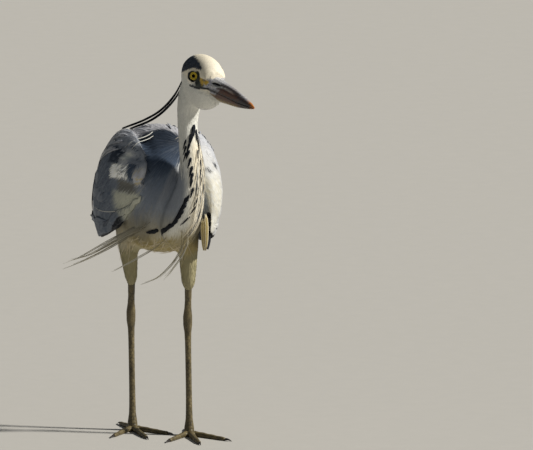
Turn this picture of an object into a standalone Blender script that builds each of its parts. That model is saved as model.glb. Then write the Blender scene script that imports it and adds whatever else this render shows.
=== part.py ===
"""Grey heron, life size, wading: body lowered, neck raised in an S, crest and breast plumes blown to its right.

The bird faces -Y and stands on +Z. Every table below is in millimetres, as forward (towards -Y), side (towards +X,
the bird's left) and height above the floor. The last step puts the middle of the bounding box's floor on the origin.
"""

import math

import bmesh
import bpy
import numpy as np
from mathutils import Euler, Matrix, Vector

MM = 0.001
GAP = 0.4  # clearance between neighbouring pieces
SIDES = {"left": 1.0, "right": -1.0}

# Trunk: forward, top, bottom, half width. Each row is an upright slice.
TRUNK = [
    (104, 320, 312, 2),
    (102.5, 333, 298, 12),
    (97, 355, 281, 30),
    (82, 380, 261, 46),
    (58, 397, 246, 56),
    (28, 405, 238, 60),
    (-5, 407, 235, 63),
    (-40, 403, 235, 63),
    (-80, 391, 241, 59),
    (-120, 373, 252, 51),
    (-160, 349, 265, 40),
    (-190, 327, 276, 28),
    (-208, 313, 286, 16),
    (-214, 303, 295, 3),
]
# Tail: forward, top, bottom, half width. It is a flat fan that lies between the wing tips.
TAIL = [
    (-150, 320, 292, 15),
    (-200, 304, 286, 20),
    (-250, 284, 273, 22),
    (-295, 262, 255, 24),
    (-314, 253, 248, 21),
    (-320, 250, 247, 14),
]
# Folded wing: forward, upper edge (side, height), greatest half width, lower edge (side, then its height on the
# right wing and on the left one, whose hand hangs lower).
WING = [
    (96, 43, 362, 46, 43, 344, 318),
    (93, 39, 373, 51, 43, 332, 298),
    (84, 37, 382, 58, 44, 318, 281),
    (66, 37, 391, 69, 50, 301, 269),
    (40, 37, 398, 79, 60, 287, 263),
    (8, 38, 402, 86, 68, 273, 258),
    (-25, 37, 401, 86, 72, 264, 256),
    (-60, 35, 392, 81, 70, 257, 252),
    (-110, 31, 376, 73, 62, 250, 248),
    (-160, 26, 352, 61, 51, 245, 244),
    (-210, 21, 323, 49, 42, 241, 241),
    (-255, 18, 292, 39, 35, 238, 238),
    (-290, 18, 264, 32, 29, 237, 237),
    (-303, 21, 248, 27, 25, 238, 238),
]
# How far the curve's lower handle stands past the greatest half width: forward, how far. The left hand is rounder.
LOWER_BULGE = {"right": [(-300, 8), (96, 8)], "left": [(-300, 8), (5, 8), (40, 13), (66, 17), (96, 15)]}
# How far a wing's lower edge stands out from the row, by how far forward it is, and how much its shoulder is drawn in.
LOWER_OUT = {"right": [(-300, 0), (96, 0)], "left": [(-300, 0), (10, 0), (40, 5), (84, 6), (96, 4)]}
UPPER_DRAW = {"right": 17, "left": 9}
PRIMARY_LEAN = {"right": 1.0, "left": 0.5}  # share of the wing's own inward slope that its primaries keep
WING_THICKNESS = 14.0
WING_EDGE = 2.4
# Black primaries, a plate inside each wing that shows under its lower edge: forward, how far it shows.
PRIMARIES = {
    "right": [(60, 1), (40, 4), (0, 6), (-60, 6), (-140, 5.5), (-220, 5), (-300, 4)],
    "left": [(76, 23), (62, 23), (40, 17), (8, 11), (-60, 8), (-140, 5.5), (-220, 5), (-300, 4)],
}
PRIMARY_THICKNESS = 2.6
PRIMARY_TIP = 12.0  # how far they reach behind the wing
# The left wing's thumb feathers hang from its front edge: forward, side, height, radius along, then across.
THUMB = [(86, 41, 298, 2, 2), (85, 41, 291, 3.8, 4.4), (84, 41.5, 279, 4.4, 5.4), (82, 42, 263, 3.8, 4.6),
         (79, 42.5, 249, 2, 2.4)]

# Neck: forward, side, height, half width, towards the throat, towards the nape. It starts as the low front of the
# breast, which hangs ahead of the trunk, and rises to the head.
NECK = [
    (84, -3, 260, 7, 6, 8),
    (91, -1, 269, 19, 13, 18),
    (100, 3, 283, 26, 19, 24),
    (108, 7, 299, 26.5, 21.5, 24),
    (114, 12, 319, 23.5, 21, 21),
    (117, 16.5, 343, 19.7, 19, 17),
    (113, 18, 372, 17, 17, 15),
    (108, 15.5, 398, 15, 15.5, 14),
    (104, 15, 420, 15, 15, 13.5),
    (101, 17, 439, 16.8, 20.5, 14.5),
    (102, 19, 454, 17.4, 23, 16),
    (104, 20.5, 465, 17, 21.5, 16.5),
]
NECK_CUTS = [0.0, 0.20, 0.38, 0.57, 0.77, 1.0]  # shares of the neck's length where it is parted
NECK_NAMES = ["breast", "neck_lower", "neck_middle", "neck_upper", "neck_nape"]

# Head: its own frame has +X along the closed bill, +Z up, and its origin midway between the corners of the mouth.
HEAD_AT = (124.0, 28.5, 470.0)
HEAD_YAW = 18.0  # degrees to the bird's left
HEAD_PITCH = 5.6  # degrees down
# Along the bill, top, bottom, half width.
HEAD = [
    (-39, 20, 12, 3),
    (-37, 25, 5, 7),
    (-31, 30, -7, 13.5),
    (-20, 37.5, -18, 18.5),
    (-7, 42.5, -27, 20.3),
    (6, 43.6, -30.5, 20.6),
    (16, 42.6, -30, 20.8),
    (26, 39.6, -26.5, 20.4),
    (34, 35, -21, 18.8),
    (39, 29.5, -15.5, 16),
]
# Feathered chin between the branches of the lower mandible: along, top, bottom, half width.
CHIN = [(30, -8, -22.5, 7), (40, -8, -19.5, 6.4), (50, -8, -14.5, 4.2), (58, -8, -10.8, 1.5)]
BILL_ROOT = 39.0
# Upper mandible: along the bill, culmen height, half width. Lower mandible: along, depth, half width.
CULMEN = [
    (39, 20.5, 11.8),
    (55, 18.8, 9.6),
    (75, 16.6, 7.6),
    (95, 13.6, 5.9),
    (115, 9.6, 4.2),
    (130, 5.4, 2.7),
    (137, 2.8, 1.5),
    (140, 1.0, 0.7),
]
GONYS = [
    (39, 11.6, 10.2),
    (55, 10.1, 8.1),
    (75, 8.8, 6.3),
    (95, 7.8, 5.0),
    (115, 5.2, 3.5),
    (130, 2.8, 2.2),
    (135, 1.9, 1.4),
    (137.5, 1.2, 0.8),
]
MOUTH_ARCH = (3.2, 105.0)  # how far the line of the mouth rises over its chord, and how far along it does
MOUTH_GAP = 0.5
NOSTRIL = (51.5, 7.4, 12.6, 8.5)  # along, out to each side, above the mouth, half length
EYE_AT = (8.5, 12.6, 14.6)  # along the bill, out to each side, up
EYE_RADIUS = 8.2

# Two nape plumes blown to the bird's right, then the root and tip radius.
CREST = {
    "crest_plume_upper": [(89, 17, 490), (85, 12, 475), (80, 6, 460), (71, -2, 445), (59, -12, 431), (46, -23, 422),
                          (36, -34, 414.5), (25, -46, 408), (17, -55, 403.5)],
    "crest_plume_lower": [(86, 19, 481), (82, 13, 465), (76, 6, 450), (67, -3, 436), (55, -13, 423), (43, -23, 414.5),
                          (33, -33, 408), (24, -42, 403.5)],
}
CREST_RADII = (2.8, 1.0)

# Long breast plumes, blown to the bird's right or hanging in front of the legs.
BREAST_PLUMES = {
    "plume_breast_1": [(97, -29, 292), (90, -45, 287), (82, -57, 280), (71, -71, 270), (57, -87, 259), (38, -108, 242),
                       (25, -122, 232), (11, -139, 225)],
    "plume_breast_2": [(94, -31, 286), (86, -46, 281), (75, -62, 271), (61, -80, 258), (44, -99, 244), (28, -116, 235),
                       (18, -128, 232)],
    "plume_breast_3": [(90, -32, 280), (80, -46, 275), (67, -62, 264), (52, -80, 251), (35, -99, 238), (20, -117, 227),
                       (8, -131, 220)],
    "plume_breast_4": [(107, -8, 271), (102, -16, 263), (92, -33, 252), (86, -51, 241), (75, -69, 229), (64, -83, 220)],
    "plume_breast_5": [(122, 4, 283), (124, 6, 268), (119, -3, 246), (112, -14, 231), (103, -27, 217), (91, -44, 209)],
    "plume_breast_6": [(125, 11, 288), (127, 12, 271), (123, 4, 250), (115, -7, 231), (107, -20, 211)],
}
PLUME_RADII = (1.9, 0.7)

# Each leg from inside the trunk to the floor: forward, side, height, half width, front depth, back depth.
LEG = {
    "left": [(26, 30, 288, 17, 23, 24), (28, 31, 258, 15.5, 20, 20), (30, 31, 232, 13, 15, 15),
             (30, 31.3, 208, 11, 12, 12), (29.5, 31.5, 192, 8.8, 9.4, 9.4)],
    "right": [(-26, -38, 288, 20, 24, 24), (-27, -37, 258, 17, 20, 20), (-28.5, -35.5, 232, 13, 15, 15),
              (-30, -33, 208, 10.2, 11.5, 11.5), (-30.5, -31.5, 192, 8.0, 8.8, 8.8)],
}
# The bare part below, measured from the last row above.
SHANK = [(-1, 0, 188, 4.9, 5.2, 5.2), (-3, 0, 172, 4.1, 4.3, 4.3), (-5, 0, 159, 5.3, 5.6, 6.0),
         (-5.5, 0, 150, 6.4, 6.6, 7.6), (-5, 0, 140, 5.2, 5.2, 6.0)]
TARSUS = [(-3.5, 0, 129, 4.1, 4.6, 4.6), (-0.5, 0, 90, 3.8, 4.4, 4.4), (2.5, 0, 48, 3.9, 4.5, 4.5),
          (4, 0, 20, 4.6, 5.2, 5.2), (4, 0, 9, 6.6, 7.6, 7.4), (4, 0, 3, 7.4, 8.6, 8.4), (4, 0, 0, 7.2, 8.4, 8.2)]
SHANK_TOP, TARSUS_TOP = 192.0, 139.0  # where the leg is parted
LEG_SLICES = 27
FOOT_FORWARD = 4.0
# Toes: heading from straight ahead (degrees, outwards), length, root radius. Each ends in its claw.
TOES = {
    "middle": (-2.0, 76.0, 4.4),
    "inner": (-36.0, 62.0, 4.1),
    "outer": (33.0, 66.0, 4.1),
    "hind": (172.0, 46.0, 4.1),
}
TOE_TIP_RADIUS = 2.6
CLAW_LENGTH = 12.0
CLAW_RADII = (2.2, 0.45)
JOINT_SPACING = 17.0  # between the knuckles of a toe


def place(forward, side, height):
    """A point of the tables, in metres in the part's frame."""
    return Vector((side * MM, -forward * MM, height * MM))


def material(name, colour, roughness, metallic=0.0):
    """A plain Principled material, made once for each name."""
    found = bpy.data.materials.get(name)
    if found:
        return found
    made = bpy.data.materials.new(name)
    made.use_nodes = True
    shader = made.node_tree.nodes["Principled BSDF"]
    shader.inputs["Base Color"].default_value = (*colour, 1.0)
    shader.inputs["Roughness"].default_value = roughness
    shader.inputs["Metallic"].default_value = metallic
    return made


def smooth_rows(rows, count):
    """count rows along a Catmull-Rom curve through the table's rows, evenly spaced by its first three columns."""
    keys = np.array(rows, float)
    ends = np.vstack([2 * keys[0] - keys[1], keys, 2 * keys[-1] - keys[-2]])
    fine = []
    for a, b, c, d in zip(ends[:-3], ends[1:-2], ends[2:-1], ends[3:]):
        for t in np.linspace(0, 1, 24, endpoint=False):
            fine.append(0.5 * (2 * b + (c - a) * t + (2 * a - 5 * b + 4 * c - d) * t**2 + (3 * b - a - 3 * c + d) * t**3))
    fine = np.array([*fine, keys[-1]])
    steps = np.linalg.norm(np.diff(fine[:, :3], axis=0), axis=1)
    along = np.concatenate([[0], np.cumsum(steps)])
    at = np.linspace(0, along[-1], count)
    return np.stack([np.interp(at, along, fine[:, k]) for k in range(keys.shape[1])], axis=1)


def oval(centre, side, up, half_width, rise, fall, corners, square=1.0):
    """Points round an oval whose upper half is rise high and lower half fall deep. Under 1, square fills its corners."""
    points = []
    for k in range(corners):
        turn = 2 * math.pi * k / corners
        across, high = (math.copysign(abs(v) ** square, v) for v in (math.cos(turn), math.sin(turn)))
        height = rise if high > 0 else fall
        points.append(centre + side * (half_width * across) + up * (height * high))
    return points


def add_object(name, mesh, look):
    """Links the mesh as one object of that name and material, shaded smooth."""
    mesh.materials.append(look)
    made = bpy.data.objects.new(name, mesh)
    bpy.context.scene.collection.objects.link(made)
    mesh.shade_smooth()
    mesh.set_sharp_from_angle(angle=math.radians(40))
    return made


def bridge(name, rings, look):
    """One closed body through the rings, each with the same number of points, with its ends capped."""
    corners = len(rings[0])
    points = [p for ring in rings for p in ring]
    faces = []
    for row in range(len(rings) - 1):
        for k in range(corners):
            a, b = row * corners + k, row * corners + (k + 1) % corners
            faces.append((a, b, b + corners, a + corners))
    for row, turned in ((0, True), (len(rings) - 1, False)):
        ring = rings[row]
        points.append(sum(ring, Vector()) / corners)
        hub = len(points) - 1
        for k in range(corners):
            a, b = row * corners + k, row * corners + (k + 1) % corners
            faces.append((hub, b, a) if turned else (hub, a, b))
    mesh = bpy.data.meshes.new(name)
    mesh.from_pydata(points, [], faces)
    solid = bmesh.new()
    solid.from_mesh(mesh)
    if solid.calc_volume(signed=True) < 0:
        mesh.flip_normals()
    solid.free()
    return add_object(name, mesh, look)


def upright_slices(rows, count, corners, grow=0.0):
    """Rings in upright planes, from rows of forward, top, bottom and half width. grow pushes them all outwards."""
    keys = [(f, 0, 0, top, bottom, half) for f, top, bottom, half in rows]
    keys = [(k[0], 0.5 * (k[3] + k[4]), k[5], *k[3:5]) for k in keys]
    rings = []
    smooth = smooth_rows(keys, count)
    for number, (forward, middle, half, top, bottom) in enumerate(smooth):
        reach = grow if number == 0 else -grow if number == count - 1 else 0.0
        centre = place(forward + reach, 0, middle)
        rise, fall = (top - middle + grow) * MM, (middle - bottom + grow) * MM
        ring = oval(centre, Vector((1, 0, 0)), Vector((0, 0, 1)), (half + grow) * MM, rise, fall, corners, 0.9)
        rings.append(ring)
    return rings


def path_slices(rows, count, corners, grow=0.0):
    """Rings square to a path, from rows of forward, side, height, half width, front depth and back depth."""
    smooth = smooth_rows([r if len(r) == 6 else (*r, r[4]) for r in rows], count)
    centres = [place(*row[:3]) for row in smooth]
    rings = []
    for number, row in enumerate(smooth):
        ahead = centres[min(number + 1, count - 1)] - centres[max(number - 1, 0)]
        ahead.normalize()
        side = Vector((1, 0, 0)) - ahead * ahead.x
        side.normalize()
        front = ahead.cross(side)
        if front.y > 0:
            front = -front
        half, throat, nape = ((value + grow) * MM for value in row[3:6])
        rings.append(oval(centres[number], side, front, half, throat, nape, corners))
    return rings


def strand_rings(points, radii, count, corners, flatten=1.0):
    """Rings along a thin tapering strand."""
    share = np.linspace(0, 1, len(points))
    rows = [(*p, radii[0] + (radii[1] - radii[0]) * s) for p, s in zip(points, share)]
    smooth = smooth_rows(rows, count)
    centres = [place(*row[:3]) for row in smooth]
    rings = []
    for number, row in enumerate(smooth):
        ahead = (centres[min(number + 1, count - 1)] - centres[max(number - 1, 0)]).normalized()
        side = ahead.cross(Vector((0, 0, 1))).normalized()
        radius = row[3] * MM
        rings.append(oval(centres[number], side, side.cross(ahead), radius, radius * flatten, radius * flatten, corners))
    return rings


def hide(cutter):
    """Marks an object as a cutter, which isn't part of the bird."""
    cutter.hide_render = True
    cutter.display_type = "WIRE"
    return cutter


def cut(piece, *cutters, solver="EXACT"):
    """Takes each cutter's volume away from the piece."""
    for cutter in cutters:
        made = piece.modifiers.new("cut_" + cutter.name, "BOOLEAN")
        made.operation = "DIFFERENCE"
        made.solver = solver
        made.object = cutter


def head_matrix():
    """The head's frame: +X along the bill, +Y to the bird's left, +Z up."""
    forwards = Matrix.Rotation(math.radians(-90), 4, "Z")  # +X of the head's frame to -Y
    turned = Euler((0, math.radians(HEAD_PITCH), math.radians(HEAD_YAW))).to_matrix().to_4x4()
    return Matrix.Translation(place(*HEAD_AT)) @ forwards @ turned


def head_rings(rows, count, corners, grow=0.0):
    """Rings square to the bill, from rows of along, top, bottom and half width in the head's frame."""
    frame = head_matrix()
    keys = [(along, 0.5 * (top + low), half, top, low) for along, top, low, half in rows]
    rings = []
    for number, (along, middle, half, top, low) in enumerate(smooth_rows(keys, count)):
        reach = -grow if number == 0 else grow if number == count - 1 else 0.0
        centre = Vector(((along + reach) * MM, 0, middle * MM))
        rise, fall = (top - middle + grow) * MM, (middle - low + grow) * MM
        ring = oval(centre, Vector((0, 1, 0)), Vector((0, 0, 1)), (half + grow) * MM, rise, fall, corners, 0.88)
        rings.append([frame @ p for p in ring])
    return rings


def mouth_height(along):
    """The line of the mouth rises a little over its chord before it falls to the tip."""
    rise, reach = MOUTH_ARCH
    return rise * math.sin(math.pi * along / reach) ** 2 if 0 < along < reach else 0.0


def mandible_rings(rows, upper, count, corners, grow=0.0):
    """Half-round rings of one mandible: a domed outer side and a flat biting side."""
    frame = head_matrix()
    keys = [(along, 0, 0, depth, half) for along, depth, half in rows]
    rings = []
    for number, (along, _, _, depth, half) in enumerate(smooth_rows(keys, count)):
        line = mouth_height(along)
        start = line + (MOUTH_GAP / 2 if upper else -MOUTH_GAP / 2)
        far = depth if upper else -depth
        if grow:
            start, far = (start - grow, far + grow) if upper else (start + grow, far - grow)
        reach = -grow if number == 0 else grow if number == count - 1 else 0.0
        ring = []
        for k in range(corners + 1):
            turn = math.pi * k / corners
            height = start + (far - start) * math.sin(turn) ** 0.9
            ring.append(frame @ (Vector((along + reach, (half + grow) * math.cos(turn), height)) * MM))
        rings.append(ring)
    return rings


def wing_rows(side_name, count):
    """Smoothed rows of one wing: forward, upper side and height, greatest half width, lower side and height, bulge,
    and how far the shoulder is drawn in."""
    low = 5 if side_name == "right" else 6
    bulge, out = (list(zip(*table[side_name])) for table in (LOWER_BULGE, LOWER_OUT))
    draw = UPPER_DRAW[side_name]
    return smooth_rows([(*row[:4], row[4] + np.interp(row[0], *out), row[low], np.interp(row[0], *bulge),
                         np.interp(row[0], (-200, -60, 60, 96), (9, draw, draw, 9))) for row in WING], count)


def wing_point(row, t):
    """A point on the outer curve of a wing's slice, the way down the curve, the way inwards, and how thick it is."""
    _, x_up, z_up, widest, x_low, z_low, bulge, draw = row
    height = z_up - z_low
    handles = [
        np.array([x_up, z_up]),
        np.array([widest - draw, z_up - 0.05 * height]),
        np.array([widest + bulge, z_low + 0.38 * height]),
        np.array([x_low, z_low]),
    ]
    weights = [(1 - t) ** 3, 3 * t * (1 - t) ** 2, 3 * t**2 * (1 - t), t**3]
    point = sum(w * h for w, h in zip(weights, handles))
    slope = sum(w * (b - a) for w, a, b in zip([(1 - t) ** 2, 2 * t * (1 - t), t**2], handles[:-1], handles[1:]))
    ahead = slope / max(np.linalg.norm(slope), 1e-9)
    thick = min(WING_THICKNESS, 0.28 * height + 1.0)
    depth = WING_EDGE + (thick - WING_EDGE) * math.sin(math.pi * t) ** 0.7
    return point, ahead, np.array([ahead[1], -ahead[0]]), depth


def wing_rings(side_name, count, arc_points, grow=0.0):
    """Crescent slices of a folded wing, outer arc down and inner arc back up."""
    sign = SIDES[side_name]
    rings = []
    for number, row in enumerate(wing_rows(side_name, count)):
        outer, inner = [], []
        for k in range(arc_points):
            point, ahead, inward, depth = wing_point(row, k / (arc_points - 1))
            past = ahead * grow * (-1 if k == 0 else 1 if k == arc_points - 1 else 0)
            outer.append(point - inward * grow + past)
            inner.append(point + inward * (depth + grow) + past)
        reach = grow if number == 0 else -grow if number == count - 1 else 0.0
        rings.append([place(row[0] + reach, sign * p[0], p[1]) for p in outer + inner[::-1]])
    return rings


def primary_rings(side_name, count, arc_points):
    """Slices of the primaries: a plate that follows the inside of the wing and shows under its lower edge."""
    sign = SIDES[side_name]
    stations = [(-f, shown) for f, shown in PRIMARIES[side_name]]
    rows = [row for row in wing_rows(side_name, count) if row[0] <= -stations[0][0]]
    last = rows.pop()
    last -= (PRIMARY_TIP, 2, 8, 2, 2, 8, 0, 0)  # past the wing's end, and under it
    rings = []
    for row in [*rows, last]:
        shown = np.interp(-row[0], *zip(*stations))
        closing = 0.5 if row is last or row is rows[0] else 1.0
        outer, inner = [], []
        for t, past in ((1 - 1 / (arc_points - 1), 0), (1.0, 0), (1.0, 0.5), (1.0, 1.0)):
            point, ahead, inward, depth = wing_point(row, t)
            hang = ahead * (PRIMARY_LEAN[side_name], 1)
            near = point + inward * (depth + 3.0 * GAP) + hang / np.linalg.norm(hang) * past * shown
            far = near + inward * PRIMARY_THICKNESS * closing * (1 - 0.55 * past)
            outer.append(near)
            inner.append(far)
        rings.append([place(row[0], sign * p[0], p[1]) for p in outer + inner[::-1]])
    return rings


def toe_rings(points, radii, count, corners, knuckles=0.0):
    """Rings along a toe or a claw whose underside is flat on the floor, with a swelling at each knuckle."""
    share = np.linspace(0, 1, len(points))
    rows = [(*p, radii[0] + (radii[1] - radii[0]) * s) for p, s in zip(points, share)]
    smooth = smooth_rows(rows, count)
    centres = [place(*row[:3]) for row in smooth]
    travelled = 0.0
    rings = []
    for number, row in enumerate(smooth):
        ahead = (centres[min(number + 1, count - 1)] - centres[max(number - 1, 0)]).normalized()
        side = ahead.cross(Vector((0, 0, 1))).normalized()
        if number:
            travelled += (centres[number] - centres[number - 1]).length / MM
        radius = (row[3] + knuckles * math.cos(2 * math.pi * travelled / JOINT_SPACING)) * MM
        ring = oval(centres[number], side, Vector((0, 0, 1)), radius, radius, radius, corners)
        rings.append([Vector((p.x, p.y, max(p.z, 0.0))) for p in ring])
    return rings


def part_along(names, rings, cuts, look):
    """Parts one limb's rings into pieces at the given rings, with the clearance between neighbours."""
    pieces = {}
    for name, first, last in zip(names, cuts[:-1], cuts[1:]):
        chosen = [list(ring) for ring in rings[first : last + 1]]
        if first > 0:
            ahead = (sum(chosen[1], Vector()) - sum(chosen[0], Vector())).normalized()
            chosen[0] = [p + ahead * GAP * MM for p in chosen[0]]
        pieces[name] = bridge(name, chosen, look[name] if isinstance(look, dict) else look)
    return pieces


def build_trunk(looks):
    trunk = bridge("trunk", upright_slices(TRUNK, 20, 20), looks["back_feather"])
    cutter = hide(bridge("trunk_cutter", upright_slices(TRUNK, 20, 20, GAP), looks["back_feather"]))
    return trunk, cutter


def build_tail(looks, trunk_cutter):
    tail = bridge("tail", upright_slices(TAIL, 9, 14), looks["back_feather"])
    cut(tail, trunk_cutter)
    return hide(bridge("tail_cutter", upright_slices(TAIL, 9, 14, GAP), looks["back_feather"]))


def build_wings(looks, *cutters):
    """Each folded wing, and the black primaries tucked under its lower edge."""
    for name in SIDES:
        wing = bridge("wing_" + name, wing_rings(name, 20, 7), looks["wing_feather"])
        cut(wing, *cutters)
        wing_cutter = hide(bridge(f"wing_{name}_cutter", wing_rings(name, 20, 7, GAP), looks["wing_feather"]))
        primaries = bridge("primaries_" + name, primary_rings(name, 20, 7), looks["black_feather"])
        cut(primaries, *cutters, solver="MANIFOLD")
        if name == "left":
            thumb = bridge("thumb_left", path_slices([(*row, row[4]) for row in THUMB], 9, 8), looks["wing_feather"])
            cut(thumb, wing_cutter, *cutters)


def build_neck(looks, trunk_cutter, head_cutter):
    """The neck in lengths, parted by thin cuts, from the breast to the nape. Returns a cutter for the whole of it."""
    count = 26
    cuts = [round(share * (count - 1)) for share in NECK_CUTS]
    pieces = part_along(NECK_NAMES, path_slices(NECK, count, 14), cuts, looks["neck_feather"])
    for name in ("breast", "neck_lower", "neck_middle"):
        cut(pieces[name], trunk_cutter)
    cut(pieces["neck_nape"], head_cutter, solver="MANIFOLD")
    return hide(bridge("neck_cutter", path_slices(NECK, count, 14, GAP), looks["neck_feather"]))


def ball(name, radius, centre, look, scale=(1, 1, 1), segments=12, rings=8):
    """A ball, or with scale an ellipsoid, at a point of the head's own frame."""
    made = bmesh.new()
    bmesh.ops.create_uvsphere(made, u_segments=segments, v_segments=rings, radius=radius * MM)
    stretch = Matrix.Diagonal((*scale, 1.0))
    made.transform(head_matrix() @ Matrix.Translation(Vector(centre) * MM) @ stretch)
    mesh = bpy.data.meshes.new(name)
    made.to_mesh(mesh)
    made.free()
    return add_object(name, mesh, look)


def build_head(looks):
    """The head with its eye sockets, the chin, and the two halves of the bill with its nostrils."""
    head = bridge("head", head_rings(HEAD, 15, 18), looks["neck_feather"])
    cutter = hide(bridge("head_cutter", head_rings(HEAD, 15, 18, GAP), looks["neck_feather"]))
    root = BILL_ROOT + GAP
    bill = {}
    for name, rows, upper in (("bill_upper", CULMEN, True), ("bill_lower", GONYS, False)):
        rows = [(max(row[0], root), *row[1:]) for row in rows]
        bill[name] = bridge(name, mandible_rings(rows, upper, 12, 8), looks["bill_horn"])
    lower_cutter = hide(bridge("bill_lower_cutter", mandible_rings(rows, False, 12, 8, GAP), looks["bill_horn"]))
    chin = bridge("chin", head_rings(CHIN, 7, 12), looks["neck_feather"])
    cut(chin, lower_cutter, cutter)
    for name, sign in SIDES.items():
        along, out, up = EYE_AT
        ball("eye_" + name, EYE_RADIUS, (along, sign * out, up), looks["eye"])
        cut(head, hide(ball("socket_" + name, EYE_RADIUS + GAP, (along, sign * out, up), looks["eye"])))
        along, out, up, half = NOSTRIL
        slit = ball("nostril_" + name, half, (along, sign * out, up), looks["bill_horn"], (1, 0.22, 0.17), 8, 6)
        cut(bill["bill_upper"], hide(slit))
    return cutter


def build_plumes(looks, *cutters):
    """The long nape plumes and breast plumes, each tapering to its tip."""
    for name, points in CREST.items():
        plume = bridge(name, strand_rings(points, CREST_RADII, 11, 6, 0.7), looks["black_feather"])
        cut(plume, *cutters)
    for name, points in BREAST_PLUMES.items():
        plume = bridge(name, strand_rings(points, PLUME_RADII, 10, 5, 0.7), looks["plume_feather"])
        cut(plume, *cutters)


def build_legs(looks, trunk_cutter):
    """Each leg as one run of slices, parted into feathered thigh, bare shank and tarsus, with its foot."""
    for name, sign in SIDES.items():
        forward, side = LEG[name][-1][:2]
        below = [(forward + row[0], side + row[1], *row[2:]) for row in SHANK + TARSUS]
        rings = path_slices(LEG[name] + below, LEG_SLICES, 10)
        for ring in rings:
            for p in ring:
                p.z = max(p.z, 0.0)
        for p in rings[-1]:
            p.z = 0.0
        heights = [sum(p.z for p in ring) / len(ring) / MM for ring in rings]
        cuts = [0, *(min(range(LEG_SLICES), key=lambda k: abs(heights[k] - z)) for z in (SHANK_TOP, TARSUS_TOP)), LEG_SLICES - 1]
        names = [f"{part}_{name}" for part in ("thigh", "shank", "tarsus")]
        finish = dict(zip(names, (looks["neck_feather"], looks["leg_scale"], looks["leg_scale"])))
        pieces = part_along(names, rings, cuts, finish)
        cut(pieces[names[0]], trunk_cutter)
        build_toes(looks, name, sign, forward + FOOT_FORWARD, side)


def build_toes(looks, name, sign, forward, side):
    """Four toes round the foot's pad, each with its claw. The middle toe's root keeps its neighbours clear."""
    middle_cutter = None
    for toe, (heading, length, radius) in TOES.items():
        angle = math.radians(heading)
        ahead, out = math.cos(angle), math.sin(angle) * sign

        def along(distance, height):
            return (forward + ahead * distance, side + out * distance, height)

        start = 8.8 + GAP
        radii = (radius, TOE_TIP_RADIUS)
        flat = 0.72  # a toe's middle stands this share of its radius above the floor
        points = [along(start, radius * flat), along(length * 0.5, radius * flat * 0.9),
                  along(length, TOE_TIP_RADIUS * flat)]
        made = bridge(f"toe_{name}_{toe}", toe_rings(points, radii, 8, 7, 0.3), looks["leg_scale"])
        if toe == "middle":
            wide = tuple(r + 1.5 * GAP for r in radii)
            points[0] = along(start - 3, radius * flat)
            middle_cutter = hide(bridge(f"toe_{name}_cutter", toe_rings(points, wide, 8, 7, 0.3), looks["leg_scale"]))
            for v in middle_cutter.data.vertices:
                v.co.z = v.co.z * 1.2 - 1 * MM
        elif toe != "hind":
            cut(made, middle_cutter)
        tip = length + GAP
        points = [along(tip, 2.1), along(tip + CLAW_LENGTH * 0.5, 2.4), along(tip + CLAW_LENGTH, 0.6)]
        bridge(f"claw_{name}_{toe}", toe_rings(points, CLAW_RADII, 5, 6), looks["claw"])


def make_looks():
    """The finish of each kind of surface."""
    return {
        "back_feather": material("blue_grey_feather", (0.24, 0.28, 0.33), 0.75),
        "wing_feather": material("wing_feather", (0.30, 0.33, 0.37), 0.7),
        "neck_feather": material("pale_feather", (0.62, 0.62, 0.58), 0.8),
        "plume_feather": material("white_plume", (0.72, 0.70, 0.62), 0.7),
        "black_feather": material("black_plume", (0.02, 0.022, 0.03), 0.5),
        "bill_horn": material("bill_horn", (0.32, 0.22, 0.15), 0.4),
        "leg_scale": material("leg_scale", (0.27, 0.23, 0.15), 0.55),
        "claw": material("claw_horn", (0.06, 0.05, 0.045), 0.4),
        "eye": material("yellow_iris", (0.75, 0.6, 0.08), 0.1),
    }


def centre_on_floor():
    """Moves every object together so that the middle of the bounding box's floor is the origin."""
    graph = bpy.context.evaluated_depsgraph_get()
    corners = []
    for piece in bpy.data.objects:
        if not piece.hide_render:
            shown = piece.evaluated_get(graph)
            corners += [shown.matrix_world @ v.co for v in shown.data.vertices]
    middle = [0.5 * (min(c[k] for c in corners) + max(c[k] for c in corners)) for k in range(2)]
    for piece in bpy.data.objects:
        piece.location -= Vector((middle[0], middle[1], 0))
    print("moved by", [round(-m / MM, 3) for m in middle], "mm")


def main():
    for old in list(bpy.data.objects):
        bpy.data.objects.remove(old, do_unlink=True)
    looks = make_looks()
    _, trunk_cutter = build_trunk(looks)
    tail_cutter = build_tail(looks, trunk_cutter)
    build_wings(looks, trunk_cutter, tail_cutter)
    head_cutter = build_head(looks)
    neck_cutter = build_neck(looks, trunk_cutter, head_cutter)
    build_plumes(looks, trunk_cutter, head_cutter, neck_cutter)
    build_legs(looks, trunk_cutter)
    centre_on_floor()


main()
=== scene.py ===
"""Grey heron, life size: one skin over the packed frame, with its coat of feathers, quills, eyes, bill and legs.

The bird faces -Y, its left is +X, and it stands on the floor at height 0. Lengths are in metres, and places named
with MM are written in millimetres.
"""

import math

import bmesh
import bpy
import numpy as np
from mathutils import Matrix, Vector
from mathutils.bvhtree import BVHTree


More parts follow.
